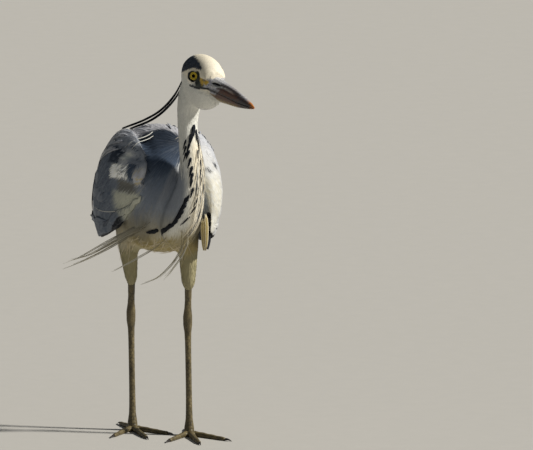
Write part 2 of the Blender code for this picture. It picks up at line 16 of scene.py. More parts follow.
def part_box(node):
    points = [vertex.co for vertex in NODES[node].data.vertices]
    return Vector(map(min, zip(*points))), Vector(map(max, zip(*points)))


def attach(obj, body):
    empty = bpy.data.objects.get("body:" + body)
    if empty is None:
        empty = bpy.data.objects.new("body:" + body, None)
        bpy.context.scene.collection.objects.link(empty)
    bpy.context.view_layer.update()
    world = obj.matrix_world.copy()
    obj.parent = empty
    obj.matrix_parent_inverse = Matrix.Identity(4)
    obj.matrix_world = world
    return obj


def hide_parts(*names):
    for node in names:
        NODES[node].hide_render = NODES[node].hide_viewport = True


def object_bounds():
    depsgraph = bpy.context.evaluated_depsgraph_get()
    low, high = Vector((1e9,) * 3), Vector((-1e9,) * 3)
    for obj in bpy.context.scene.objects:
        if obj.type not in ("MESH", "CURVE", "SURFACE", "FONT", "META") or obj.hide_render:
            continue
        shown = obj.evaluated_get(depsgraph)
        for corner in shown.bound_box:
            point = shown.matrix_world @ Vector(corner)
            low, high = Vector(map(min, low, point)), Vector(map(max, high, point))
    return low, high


bl_info = {
    "name": "Grey Heron",
    "version": (1, 0, 0),
    "blender": (4, 5, 0),
    "location": "3D View > Sidebar > Heron",
    "description": "Builds a life-size wading grey heron round its packed frame",
    "category": "Add Mesh",
}

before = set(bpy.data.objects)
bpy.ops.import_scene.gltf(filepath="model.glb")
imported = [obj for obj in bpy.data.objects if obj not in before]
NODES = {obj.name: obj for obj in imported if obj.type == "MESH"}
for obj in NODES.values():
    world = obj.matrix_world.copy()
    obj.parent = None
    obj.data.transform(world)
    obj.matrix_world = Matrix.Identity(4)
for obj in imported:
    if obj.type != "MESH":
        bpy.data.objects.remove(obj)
CAD_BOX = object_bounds()

MM = 0.001
SIDES = {"left": 1.0, "right": -1.0}
TOES = ("hind", "inner", "middle", "outer")
MIDLINE = 29  # x of the plane between the wings, in millimetres


# ---- places taken from the frame

BILL_LENGTH = 140 * MM  # from the corners of the mouth to the tip
HEAD_TURN = math.radians(18)  # to the bird's left
HEAD_DIP = math.radians(5.6)


def coordinates(mesh):
    flat = np.empty(len(mesh.vertices) * 3)
    mesh.vertices.foreach_get("co", flat)
    return flat.reshape(-1, 3)


def places(names):
    """Every vertex of the named nodes, in metres."""
    return np.concatenate([coordinates(NODES[name].data) for name in names])


def nodes_called(start):
    return [name for name in NODES if name.startswith(start)]


def head_axes():
    """The head's own frame: its origin between the mouth's corners, and its axes along the bill, left and up."""
    along = np.array([
        math.sin(HEAD_TURN) * math.cos(HEAD_DIP),
        -math.cos(HEAD_TURN) * math.cos(HEAD_DIP),
        -math.sin(HEAD_DIP),
    ])
    left = np.cross([0.0, 0.0, 1.0], along)
    left /= np.linalg.norm(left)
    bill = places(["bill_upper"])
    tip = bill[np.argmax(bill @ along)]
    return tip - BILL_LENGTH * along, np.array([along, left, np.cross(along, left)])


MOUTH, HEAD_AXES = head_axes()


def to_head(points):
    """Places in the head's frame, in millimetres, as columns along, left and up."""
    return (points - MOUTH) @ HEAD_AXES.T / MM


def from_head(along, left, up):
    return MOUTH + np.array([along, left, up]) @ HEAD_AXES * MM


NECK_PARTS = ["breast", "neck_lower", "neck_middle", "neck_upper", "neck_nape"]


def neck_line():
    """Middle of the neck at each joint between its parts, from the breast up, then into the head."""
    line = [0.5 * (places([a]).mean(0) + places([b]).mean(0)) for a, b in zip(NECK_PARTS[:-1], NECK_PARTS[1:])]
    line.insert(0, places(["breast"]).mean(0) - 0.5 * (line[0] - places(["breast"]).mean(0)))
    return np.array([*line, places(["neck_nape"]).mean(0), from_head(-8, 0, 2)])


NECK_LINE = neck_line()


# ---- small helpers


def ramp(low, high, value):
    """0 below low, 1 above high, and a smooth rise between. low may be above high."""
    t = np.clip((value - low) / (high - low), 0.0, 1.0)
    return t * t * (3 - 2 * t)


def hump(value, middle, width):
    """1 at the middle, and smoothly down to 0 on both sides of it."""
    return np.exp(-(((value - middle) / width) ** 2))


def unit(vectors):
    return vectors / np.maximum(np.linalg.norm(vectors, axis=-1, keepdims=True), 1e-12)


def band(value, low, high, soft):
    """1 between low and high, with soft edges."""
    return ramp(low - soft, low + soft, value) * ramp(high + soft, high - soft, value)


def mix(first, second, share):
    return first + (second - first) * np.asarray(share)[..., None]


def between(value, stations, rows):
    """The colours or places that lie between those given at stations, for each value."""
    rows = np.asarray(rows, float)
    return np.stack([np.interp(value, stations, rows[:, k]) for k in range(rows.shape[1])], 1)


def linear(text):
    """An sRGB hex colour as linear numbers."""
    value = np.array([int(text[k : k + 2], 16) / 255 for k in (1, 3, 5)])
    return np.where(value <= 0.04045, value / 12.92, ((value + 0.055) / 1.055) ** 2.4)


def waves(points, size, seed):
    """Smooth noise between -1 and 1 from a few turned sine waves, about size metres across."""
    draw = np.random.default_rng(seed)
    total = np.zeros(len(points))
    for _ in range(7):
        way = unit(draw.normal(size=3)) * draw.uniform(0.6, 1.7) * 2 * math.pi / size
        total += np.sin(points @ way + draw.uniform(0, 2 * math.pi))
    return total / 3.5


def set_coordinates(mesh, points):
    mesh.vertices.foreach_set("co", points.ravel())
    mesh.update()


def normals(mesh):
    flat = np.empty(len(mesh.vertices) * 3, np.float32)
    mesh.vertex_normals.foreach_get("vector", flat)
    return flat.reshape(-1, 3).astype(float)


def edge_ends(mesh):
    flat = np.empty(len(mesh.edges) * 2, np.int32)
    mesh.edges.foreach_get("vertices", flat)
    return flat.reshape(-1, 2)


def relaxed(mesh, values, steps, share=0.5):
    """Values on the vertices, each moved towards its neighbours' mean, step by step."""
    ends = edge_ends(mesh)
    count = np.bincount(ends.ravel(), minlength=len(mesh.vertices)).clip(1)[:, None]
    for _ in range(steps):
        total = np.zeros_like(values)
        for k in range(values.shape[1]):
            total[:, k] = np.bincount(ends[:, 0], values[ends[:, 1], k], len(values))
            total[:, k] += np.bincount(ends[:, 1], values[ends[:, 0], k], len(values))
        values = values + share * (total / count - values)
    return values


def write_attribute(mesh, name, values):
    """Stores a number, a vector or a colour on each vertex."""
    old = mesh.attributes.get(name)
    if old:
        mesh.attributes.remove(old)
    values = np.ascontiguousarray(values, np.float32)
    kind, field = {1: ("FLOAT", "value"), 3: ("FLOAT_VECTOR", "vector"), 4: ("FLOAT_COLOR", "color")}[values[:1].size]
    mesh.attributes.new(name, kind, "POINT").data.foreach_set(field, values.ravel())


def read_attribute(mesh, name):
    found = mesh.attributes[name]
    field, width = {"FLOAT": ("value", 1), "FLOAT_VECTOR": ("vector", 3)}[found.data_type]
    flat = np.empty(len(found.data) * width, np.float32)
    found.data.foreach_get(field, flat)
    return flat.reshape(-1, width).astype(float) if width > 1 else flat.astype(float)


def paint(mesh, colours):
    """Colours on the vertices, as linear numbers."""
    full = np.ones((len(colours), 4))
    full[:, :3] = np.clip(colours, 0, 1)
    write_attribute(mesh, "tint", full)


def linked(name, data):
    """A new object in the scene."""
    made = bpy.data.objects.new(name, data)
    bpy.context.scene.collection.objects.link(made)
    return made


def shown(name, mesh, finish, slot, replaced=()):
    """A finished piece on the bird's one body."""
    piece = linked(name, mesh)
    mesh.name = name
    mesh.materials.clear()
    mesh.materials.append(finish)
    mesh.shade_smooth()
    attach(piece, "root")
    if replaced:
        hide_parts(*replaced)
    return piece


def joined_nodes(names, grow):
    """One mesh from copies of the named nodes, each grown a little so that neighbours overlap."""
    whole = bmesh.new()
    for name in names:
        part = bmesh.new()
        part.from_mesh(NODES[name].data)
        bmesh.ops.remove_doubles(part, verts=part.verts, dist=1e-6)
        part.normal_update()
        for vertex in part.verts:
            vertex.co += vertex.normal * grow
        copy = bpy.data.meshes.new(name)
        part.to_mesh(copy)
        part.free()
        whole.from_mesh(copy)
        bpy.data.meshes.remove(copy)
    mesh = bpy.data.meshes.new("joined")
    whole.to_mesh(mesh)
    whole.free()
    return mesh


def evaluated(mesh, add_modifiers):
    """The mesh with the modifiers that add_modifiers(piece) puts on it applied."""
    piece = linked("draft", mesh)
    add_modifiers(piece)
    graph = bpy.context.evaluated_depsgraph_get()
    made = bpy.data.meshes.new_from_object(piece.evaluated_get(graph))
    bpy.data.objects.remove(piece)
    bpy.data.meshes.remove(mesh)
    return made


def voxel_skin(mesh, voxel):
    def add(piece):
        remesh = piece.modifiers.new("Voxels", "REMESH")
        remesh.mode = "VOXEL"
        remesh.voxel_size = voxel
    return evaluated(mesh, add)


def tree_of(mesh):
    """A search tree over a mesh."""
    faces = [tuple(p.vertices) for p in mesh.polygons]
    return BVHTree.FromPolygons([v.co for v in mesh.vertices], faces)


def add_node(tree, kind, inputs=(), **settings):
    """Adds a node. settings are its properties; inputs gives values or sockets by input name or number."""
    made = tree.nodes.new(kind)
    for name, value in settings.items():
        setattr(made, name, value)
    for key, value in dict(inputs).items():
        if isinstance(value, bpy.types.NodeSocket):
            tree.links.new(value, made.inputs[key])
        else:
            made.inputs[key].default_value = value
    return made


# ---- colours and markings

# Every colour of the bird, as sRGB: name, default, what it is.
COLOURS = {
    "cream": ("#F4EAD3", "forehead and the long plumes of the foreneck"),
    "white": ("#E2E1D8", "cheeks, throat and neck"),
    "ash": ("#A9ABB1", "scapulars and hind neck"),
    "mantle": ("#B7B5B8", "mottles of the mantle"),
    "edge": ("#A9AA9B", "front edge of the right wing"),
    "grey": ("#8A919B", "wing coverts"),
    # slate and ink also carry painted shadow on the breast's sides, and slate painted shade on the right wing
    "slate": ("#4C5B70", "sides of the breast and outer coverts"),
    "ink": ("#161B24", "crown stripe, streaks, shoulder patch and flight feathers"),
    # buff on the belly is partly painted warm light reflected from below
    "buff": ("#B9A873", "belly"),
    "thigh": ("#A79F7C", "thighs"),
    "lore": ("#3B4138", "bare skin before the eye"),
    "yellow": ("#C9A63C", "patches on the lores"),
    "lilac": ("#B5B6BF", "skin at the root of the bill"),
    "horn": ("#583420", "sides of the bill"),
    "tip": ("#B8702C", "tip of the bill"),
    "iris": ("#D6BC42", "iris"),
    "leg": ("#6B5F40", "bare legs"),
    "claw": ("#2A2420", "claws"),
}


NECK_TURN = math.radians(15)  # the foreneck faces a little to the bird's left
EYE_SPOT = (9.4, 15.4)  # middle of the eye seen from the side: along the bill and up, in the head's millimetres


def hex_of(name):
    """A colour as the sidebar has it now, as linear numbers."""
    return np.array(getattr(bpy.context.scene.heron_colours, name))


def head_colours(points, below):
    """Colours of the head over the colours given for what lies below it."""
    along, left, up = to_head(points).T
    side = np.abs(left)
    rough = waves(points, 6 * MM, 3) * 0.8
    colour = mix(hex_of("white") + 0 * below, hex_of("cream"), ramp(4, 15, up + 0.25 * along + rough))
    cheek = ramp(10, 0, up) * ramp(30, 10, along)
    colour = mix(colour, hex_of("white") * 0.92, cheek * 0.7)
    # The blue-black stripe: from above the eye over the side of the crown to the nape.
    lower = np.interp(along, [-45, -28, -14, -2, 8, 14, 26], [5, 12, 16.5, 22, 25.5, 25, 26.5])
    upper = np.interp(along, [-45, -34, -22, -10, 0, 10, 17, 24, 31], [60, 60, 60, 38.5, 37.2, 35.4, 33.2, 30, 27])
    upper = upper + 2.5 * ramp(0, 4, left)
    stripe = ramp(-1.1, 1.1, up - lower + rough) * ramp(-1.1, 1.1, upper - up + rough)
    far = 6.5 * ramp(0, 4, left)  # the stripe of the left side reaches further forward
    stripe *= ramp(27.0, 24.0, along - far + 1.6 * rough)
    stripe *= ramp(4, 9, side + 0.28 * np.maximum(0, -along - 4))
    stripe = np.maximum(stripe, ramp(-27, -33, along + rough) * ramp(6, 11, up))
    colour = mix(colour, mix(hex_of("ink"), hex_of("slate"), np.clip(0.25 + 0.3 * rough, 0, 0.6)), stripe)
    here = ramp(-34, -22, up) * ramp(-44, -36, along + 0.3 * up)
    return mix(below, colour, here)


def gape_line(along):
    """Height of the mouth's line back under the eye, in the head's millimetres."""
    return np.interp(along, [6, 18, 30, 42], [2.4, 2.6, 3.9, 4.9])


def bare_face(points):
    """How bare each place of the face is, and the colours there: lores, eye ring and the skin before the bill."""
    along, left, up = to_head(points).T
    rough = waves(points, 4 * MM, 8) * 0.5
    eye_along, eye_up = EYE_SPOT
    ring = np.hypot(along - eye_along, up - eye_up)
    top = np.interp(along, [12, 18, 24, 32, 40, 50], [24, 19.5, 18.5, 16.5, 17.5, 19])
    low = np.interp(along, [8, 14, 20, 30, 40, 50], [9, 6.0, 4.5, 4.2, 3.5, 3])
    lore = band(up, low, top, 0.7) * ramp(11, 14, along + rough)
    off_gape = np.abs(up - gape_line(along))
    gape = ramp(1.5, 0.5, off_gape) * band(along, 5, 60, 1.5)
    colour = hex_of("lore") + 0 * points
    speck = waves(points, 2.6 * MM, 12)
    patch = ramp(1.25, 0.8, np.hypot((along - 29.5 + 0.4 * (up - 13)) / 3.4, (up - 13) / 4.6) + 0.3 * speck)
    second = ramp(1.25, 0.8, np.hypot((along - 36.0) / 2.4, (up - 12.5) / 3.2) + 0.35 * speck)
    colour = mix(colour, root_skin(points), ramp(31, 35, along + 2 * rough) * ramp(4, 7, up))
    second = second * (left < 0)
    colour = mix(colour, hex_of("yellow") * (1 + 0.2 * speck)[:, None], np.clip(patch + second, 0, 1))
    colour = mix(colour, hex_of("ink"), 0.8 * ramp(0.75, 1.1, speck) * ramp(24, 28, along))
    black = np.maximum(ramp(6.6, 5.9, ring), gape)
    colour = mix(colour, hex_of("ink") * 0.6, black)
    wide_gape = ramp(2.9, 2.1, off_gape) * (gape > 0)
    return np.clip(np.maximum.reduce([lore, ramp(7.0, 6.4, ring), wide_gape]), 0, 1), colour


def root_skin(points):
    """The mottled skin at the root of the bill, the same on the face and on the horn."""
    speck, patch = waves(points, 2.6 * MM, 12), waves(points, 5 * MM, 13)
    colour = mix(hex_of("lilac"), hex_of("white"), np.clip(0.15 + 0.35 * patch, 0, 0.6))
    return mix(colour, hex_of("ink"), 0.7 * ramp(0.45, 0.95, speck))


def mantle_share(points):
    """1 on the ash mantle, 0 on the dark side of the breast, which an arch round the neck parts from it."""
    x, y, z = points.T / MM
    arch = np.hypot((x - 22) / 43, (z - 346) / 56)
    mantle = np.maximum(ramp(0.98, 1.04, arch) * ramp(350, 372, z), ramp(-64, -54, y))
    return mantle * ramp(290, 320, z + 0.2 * (y + 60))


def body_colours(points, wing):
    """Colours of neck, breast, back, belly and wings. wing is how much of each place belongs to a wing."""
    x, y, z = points.T / MM
    rough = waves(points, 30 * MM, 5)
    fine = waves(points, 9 * MM, 6)
    white, ash, slate, buff, ink, grey = (hex_of(n) for n in ("white", "ash", "slate", "buff", "ink", "grey"))
    # Sides of the breast: near black above, partly their own dark and partly painted shadow of the neck and head,
    # then slate, grey, olive and buff towards the belly.
    # The olive and buff low down are partly painted warm light reflected from below.
    levels = [225, 247, 258, 270, 290, 312, 335, 356, 370, 395]
    down = [buff * 0.9, buff, buff * 0.72, mix(buff, slate, 0.45) * 0.9, mix(buff, grey, 0.6) * 0.9,
            mix(slate, grey, 0.8), mix(slate, grey, 0.6), mix(slate, grey, 0.3), mix(slate, ink, 0.35),
            mix(slate, ink, 0.85)]
    colour = between(z + 4 * rough, levels, down)
    # The mantle is ash grey and mottled, and pale against the painted shadow below its rim.
    mantle = mantle_share(points)
    colour = mix(colour, mix(ash, hex_of("mantle") * 1.12, np.clip(0.5 + 0.5 * fine, 0, 1)), mantle)
    behind = ramp(-60, 0, y) * (1 - mantle)
    colour = mix(colour, mix(white, buff, 0.45), behind * ramp(330, 290, z))
    # Neck and breast: white, greyer on the hind side, cream down the front to its left, and painted shade down its
    # right side.
    neck = neck_share(points)
    front = ramp(0.1, -0.6, neck_facing(points))
    pale = mix(white + 0 * points, ash, 0.4 * ramp(0.1, 0.9, neck_facing(points)))
    pale = mix(pale, hex_of("cream"), front * ramp(36, 50, x) * ramp(415, 390, z))
    # Painted shade down the neck's right side, in the colours of the breast's side below it.
    border = np.interp(z, [268, 281, 290, 302, 325, 345, 362, 385], [4, 12, 22, 32, 38, 40, 38, 30])
    shade = ramp(2, -8, x - border) * ramp(392, 350, z)
    pale = mix(pale, mix(between(z, levels, down), ash, 0.25 * ramp(300, 330, z)), shade * 0.92)
    # Low on the breast: buff and a little darker, partly painted shade and partly warm light reflected from below.
    low = ramp(292, 268, z + 4 * rough - 0.25 * (x - 30))
    pale = mix(pale, mix(buff, white, 0.15 + 0.15 * fine) * 0.8, low)
    colour = mix(colour, pale, neck)
    return mix(colour, wing_colours(points, fine), wing)


def wing_colours(points, fine):
    """Colours of the folded wings: grey coverts, white front edges, the marks of the wrist and the shoulder patch."""
    x, y, z = points.T / MM
    grey, slate, ash, white, ink = (hex_of(n) for n in ("grey", "slate", "ash", "white", "ink"))
    rough = waves(points, 14 * MM, 9)
    colour = mix(grey, ash, np.clip(0.45 + 0.4 * fine, 0, 1) * ramp(340, 385, z))
    # Outer coverts in slate: partly their own darker grey, partly painted shade of the right wing.
    outer = band(y, -80, 60, 22) * ramp(390, 366, z + 4 * rough)
    colour = mix(colour, mix(slate * 0.7, grey * 0.8, np.clip(0.35 + 0.3 * fine, 0, 1)), outer * 0.9)
    # The right wing's pale front edge: its own colour, brightened by a quarter as painted light.
    edge = ramp(-62, -84, y + 3 * rough) * ramp(333, 325, z)
    colour = mix(colour, hex_of("edge") * 1.25, edge * 0.95)
    # The shoulder patch, black with a white spot before it, and the white patch of the wrist with its dark streaks.
    patch = band(y, -80, -42, 5) * band(z, 361, 382, 3 + 0 * z)
    colour = mix(colour, mix(slate, ink, 0.75), patch * ramp(-0.6, 0.2, rough + 0.6))
    spot = hump(y, -92, 9) * hump(z, 373, 5.5)
    colour = mix(colour, white, np.clip(1.3 * spot, 0, 1))
    streaks = np.sin((y + 2.2 * z) / 2.4 + 2.5 * fine) > 0.55 - 0.35 * ramp(-70, -100, y)
    wrist = band(y, -108, -60, 4) * band(z + 0.10 * (y + 90), 346, 363, 2.0)
    # The wrist's own white patch, made half again as bright: painted light.
    pale = mix(ash, white, 0.85) * 1.5
    colour = mix(colour, mix(pale, slate * 0.7, 0.7 * streaks * (0.5 + 0.5 * np.sin(y / 9))), wrist)
    tongue = band(y, -121, -107, 3.5) * band(z, 345, 368, 3)
    colour = mix(colour, mix(slate, ink, 0.35), tongue)
    rim = ramp(-116, -121, y) * band(z, 333, 360, 4)
    buffs = rim * ramp(0.2, 0.7, fine)
    colour = mix(mix(colour, ash * 1.15, rim), hex_of("buff"), 0.7 * buffs)
    # Painted shadow under the wrist's lobe: olive slate, darker.
    hollow = band(y, -116, -82, 5) * band(z - 0.05 * (y + 95), 329, 344, 3)
    colour = mix(colour, mix(slate, hex_of("buff"), 0.35) * 0.7, hollow * 0.85)
    # The left wing's front is whiter than the right's: partly its own pale edge, partly painted sunlight.
    left = mix(mix(ash, white, 0.8), mix(white, hex_of("buff"), 0.35), np.clip(0.35 + 0.6 * fine, 0, 1))
    left = mix(left, mix(ash, white, 0.25 + 0.1 * fine), ramp(-112, -78, y + 5 * rough))
    dots = hump(y, -100, 4) * hump(z, 361, 3.2) + hump(y, -122, 3) * hump(z, 357, 1.8)
    left = mix(left, ash * 1.2, 0.6 * ramp(335, 365, z))
    left = mix(left, ink, np.clip(1.4 * dots, 0, 1))
    colour = mix(colour, left, (x > MIDLINE) * ramp(60, -60, y + 12 * rough))
    return colour


def neck_share(points):
    """1 on the neck and the low breast, 0 on the rest of the body, from the distance to the neck's line."""
    away, share = neck_distance(points)
    reach = np.interp(share, [0, 0.15, 0.35, 0.55, 1], [33, 33, 28, 23, 24])
    return ramp(1.12, 0.98, away / reach)


def neck_distance(points):
    """Distance in millimetres to the neck's line, and the share along it."""
    best = np.full(len(points), 1e9)
    share = np.zeros(len(points))
    for k in range(len(NECK_LINE) - 1):
        a, span = NECK_LINE[k], NECK_LINE[k + 1] - NECK_LINE[k]
        t = np.clip((points - a) @ span / (span @ span), 0, 1)
        away = np.linalg.norm(points - a - t[:, None] * span, axis=1) / MM
        closer = away < best
        best[closer] = away[closer]
        share[closer] = (k + t[closer]) / (len(NECK_LINE) - 1)
    return best, share


def neck_middle(points):
    """The neck line's place at each point's height."""
    return between(points[:, 2], NECK_LINE[:, 2], NECK_LINE)


def neck_facing(points):
    """-1 on the foreneck's middle, 1 on the hind neck."""
    away = unit((points - neck_middle(points))[:, :2])
    return -(away @ np.array([math.sin(NECK_TURN), -math.cos(NECK_TURN)]))


def markings(points, wing):
    """The bird's colour at each place, the same for its skin and its feathers."""
    colour = head_colours(points, body_colours(points, wing))
    _, y, z = points.T / MM
    leg = ramp(252, 238, z) * ramp(60, 30, y) * (1 - wing)
    return mix(colour, hex_of("thigh"), leg)


# ---- the skin

# The kinds of flesh node, by the first word of their names, and how far the skin lies below the coat's outline there,
# in millimetres.
COAT_DEPTHS = {"head": 0.9, "chin": 0.8, "neck": 1.5, "breast": 2.2, "trunk": 2.6, "wing": 1.9, "thigh": 1.1}
FLESH = [name for name in NODES if name.split("_")[0] in COAT_DEPTHS]
OVERLAP = 0.5 * MM  # what each flesh node is grown by, so that neighbours join
DEEPEST = 0.2  # no part of the body is thicker, in metres
EYE_AXIS = unit(np.array([0.6, 0.79, 0.12]))  # which way an eye looks: along the bill, out to its side, up
EYE_CENTRE = np.array([6.6, 13.4, 14.8])  # in the head's millimetres, as the two below
EYE_RADIUS = 8.2
IRIS_RADIUS = 5.1


def nearest_parts(points):
    """The name of the flesh node nearest to each place."""
    best = np.full(len(points), 1e9)
    found = np.full(len(points), "trunk", object)
    for name in FLESH:
        tree = tree_of(joined_nodes([name], 0))
        low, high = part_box(name)
        near = np.all((points > np.array(low) - 0.02) & (points < np.array(high) + 0.02), axis=1)
        for k in np.nonzero(near)[0]:
            away = tree.find_nearest(points[k], best[k])[3]
            if away is not None and away < best[k]:
                best[k], found[k] = away, name
    return found


def thickness(mesh, points, ways):
    """How far it is through the body from each place, straight in."""
    tree = tree_of(mesh)
    deep = np.full(len(points), DEEPEST)
    for k, (point, way) in enumerate(zip(points, ways)):
        hit = tree.ray_cast(Vector(point - way * 0.4 * MM), Vector(-way), DEEPEST)
        if hit[0] is not None:
            deep[k] = hit[3]
    return deep


def finer(mesh, chosen):
    """Cuts the edges whose ends are both chosen in two."""
    made = bmesh.new()
    made.from_mesh(mesh)
    made.verts.ensure_lookup_table()
    edges = [e for e in made.edges if chosen[e.verts[0].index] and chosen[e.verts[1].index]]
    bmesh.ops.subdivide_edges(made, edges=edges, cuts=1, use_grid_fill=True, smooth=0.0)
    bmesh.ops.triangulate(made, faces=[f for f in made.faces if len(f.verts) > 4])
    made.to_mesh(mesh)
    made.free()
    return mesh


def eye_frame(side):
    """An eye's middle and its outward axis, in metres."""
    sign = SIDES[side]
    centre = from_head(EYE_CENTRE[0], EYE_CENTRE[1] * sign, EYE_CENTRE[2])
    axis = (EYE_AXIS * [1, sign, 1]) @ HEAD_AXES
    return centre, axis


def round_eye(points, side):
    """Round an eye's axis, in millimetres: height along it, distance from it, and the angle up from the bill's way."""
    centre, axis = eye_frame(side)
    away = points - centre
    off = away - np.outer(away @ axis, axis)
    reach = np.linalg.norm(off, axis=1) / MM
    return away @ axis / MM, reach, np.arctan2(off @ HEAD_AXES[2], off @ HEAD_AXES[0])


def sculpt_eyes(points):
    """Sinks a socket round each eye, with a lid's rim against the eyeball and one fold outside it."""
    for side in SIDES:
        height, reach, angle = round_eye(points, side)
        stations = [0, 5.2, 5.8, 6.3, 6.9, 7.5, 8.1, 9.0, 11.0]
        level = np.interp(reach, stations, [3.0, 4.6, 6.3, 6.75, 6.3, 5.5, 5.75, 5.2, 4.9])
        upper = ramp(0.2, 1.2, angle) * ramp(3.1, 2.2, angle)
        level += 0.5 * upper * hump(reach, 6.2, 0.6)
        share = ramp(13.5, 8.6, reach) * ramp(-1.0, 1.0, height)
        share = np.where(reach < 6.2, (height > 0) * 1.0, share)
        points = points + np.outer((level - height) * share * MM, eye_frame(side)[1])
    return points


def sculpt_face(points):
    """Hollows the lores, cuts the crease of the mouth back under the eye and rounds the brow over it."""
    along, left, up = to_head(points).T
    sign = np.sign(left)
    lore = hump(along, 23, 8) * hump(up, 11, 4.5) * 0.8
    crease = hump(up, gape_line(along), 0.7) * band(along, 6, 44, 2)
    brow = hump(along, 15, 9) * hump(up, 24, 3)
    jaw = hump(along, 20, 12) * hump(up, -3, 3.5)
    inwards = 2.2 * lore + 0.9 * crease - 0.9 * brow - 0.5 * jaw
    off = np.abs(left) > 3
    return points - np.outer(inwards * sign * off * MM, HEAD_AXES[1])


def hugged_bill(points):
    """Draws the front of the face in to the root of the bill, and a little way over it."""
    along, left, up = to_head(points).T
    near = (along > 20) & (np.abs(left) < 30) & (up > -30) & (up < 45)
    first = np.where(up > 17, 36.5, np.where(up > -3, 25.0, 31.0))  # brow, lores and chin start to draw in here
    share = ramp(first, 40.0, along) * near
    hem = ramp(36.5, 39.5, along)
    points = points + np.outer(4.5 * MM * hem * near, HEAD_AXES[0])
    bill = tree_of(joined_nodes(["bill_upper", "bill_lower"], 0))
    for k in np.nonzero(share)[0]:
        found, way, _, _ = bill.find_nearest(Vector(points[k]))
        rise = 0.35 - 0.5 * ramp(0.6, 1.0, hem[k])
        target = np.array(found) + rise * MM * np.array(way)
        if (points[k] - target) @ np.array(way) > 0:
            points[k] += share[k] * (target - points[k])
    return points


def in_bill(points):
    """1 where the skin lies in the bill or against its horn, and 0 elsewhere."""
    along, left, up = to_head(points).T
    bill = tree_of(joined_nodes(["bill_upper", "bill_lower"], 0))
    inside = np.zeros(len(points))
    for k in np.nonzero((along > 30) & (np.abs(left) < 25) & (up > -30) & (up < 40))[0]:
        found, way, _, _ = bill.find_nearest(Vector(points[k]))
        off = points[k] - np.array(found)
        inside[k] = off @ np.array(way) < 0.5 * MM and np.linalg.norm(off) < 3 * MM
    return inside


def sculpt_wrist(points, ways, part):
    """Raises the lobe of the right wing's wrist over a hollow below it, and rounds the left wing's front."""
    _, y, z = points.T / MM
    right = np.array([p == "wing_right" for p in part])
    lobe = band(z, 346, 370, 4) * ramp(-58, -84, y) * right
    hollow = hump(z, 336, 6.5) * ramp(-70, -92, y) * ramp(-128, -116, y) * right
    fold = hump(z - 0.1 * (y + 80), 374, 3.0) * ramp(-40, -60, y) * right
    left = band(z, 300, 350, 5) * ramp(-70, -105, y) * np.array([p == "wing_left" for p in part])
    return points + ways * ((3.2 * lobe - 2.6 * hollow - 1.5 * fold + 1.0 * left) * MM)[:, None]


def lie_of_coat(points, ways, part):
    """Which way the feathers lie at each place of the skin."""
    up = to_head(points)[:, 2]
    lie = np.zeros_like(points)
    kinds = np.array([p.split("_")[0] for p in part])
    x, y, z = points.T / MM
    back = -HEAD_AXES[0]
    lie[kinds == "head"] = back + np.array([0, 0, -0.25])
    lie[kinds == "chin"] = back + np.array([0, 0, -0.2])
    low_face = (kinds == "head") & (up < 4)
    lie[low_face] = back + np.array([0, 0, -0.9])
    neck = (kinds == "neck") | (kinds == "breast")
    slope = np.gradient(NECK_LINE, axis=0)
    down = -between(points[:, 2], NECK_LINE[:, 2], unit(slope))
    lie[neck] = down[neck]
    trunk = kinds == "trunk"
    breast = np.stack([0.45 * (x - 40) / 40, 0.12 + 0 * x, -1 + 0 * x], 1)
    behind = np.stack([0.2 * (x - MIDLINE) / 40, 1 + 0 * x, -0.35 + 0 * x], 1)
    from_neck = np.stack([x - 50, y + 100, z - 392], 1)
    low = ramp(345, 300, z)[:, None]
    rear = ramp(-70, -10, y)[:, None]
    lie[trunk] = (unit(from_neck) * (1 - low) * (1 - rear) + unit(breast) * low * (1 - rear) + behind * rear)[trunk]
    for side in SIDES:
        wing = np.array([p == f"wing_{side}" for p in part])
        down = np.interp(y, [-60, 60, 270], [-0.5, -0.42, -0.3])
        back_way = np.stack([0 * x, 1 + 0 * x, down], 1)
        front_way = np.array([0.9 * SIDES[side], 0.35, -0.85])
        front = ramp(0.1, 0.65, -ways[:, 1]) * ramp(-10, -60, y)
        lie[wing] = mix(unit(back_way), unit(front_way), front)[wing]
    lie[kinds == "thigh"] = [0, 0.12, -1]
    return lie


def skin_mesh(settings):
    """The skin's mesh, and for each vertex the flesh node it comes from."""
    mesh = voxel_skin(joined_nodes(FLESH, OVERLAP), settings.voxel)
    set_coordinates(mesh, relaxed(mesh, coordinates(mesh), 6))
    along, left, up = to_head(coordinates(mesh)).T
    mesh = finer(mesh, (along > -44) & (along < 60) & (up > -36) & (np.abs(left) < 30))  # the head
    away = [np.linalg.norm(coordinates(mesh) - eye_frame(side)[0], axis=1) for side in SIDES]
    mesh = finer(mesh, np.min(away, axis=0) < 16 * MM)  # and finer again round the eyes
    points = relaxed(mesh, coordinates(mesh), 4)
    set_coordinates(mesh, points)
    ways = unit(relaxed(mesh, normals(mesh), 6))
    part = nearest_parts(points)
    depth = relaxed(mesh, np.array([[COAT_DEPTHS[p.split("_")[0]]] for p in part]) * MM, 12)[:, 0]
    depth = np.minimum(depth + 0.5 * MM, 0.3 * thickness(mesh, points, ways))
    points = hugged_bill(points - ways * relaxed(mesh, depth[:, None], 4))
    points = sculpt_wrist(points, ways, part)
    set_coordinates(mesh, sculpt_eyes(sculpt_face(points)))
    return mesh, part


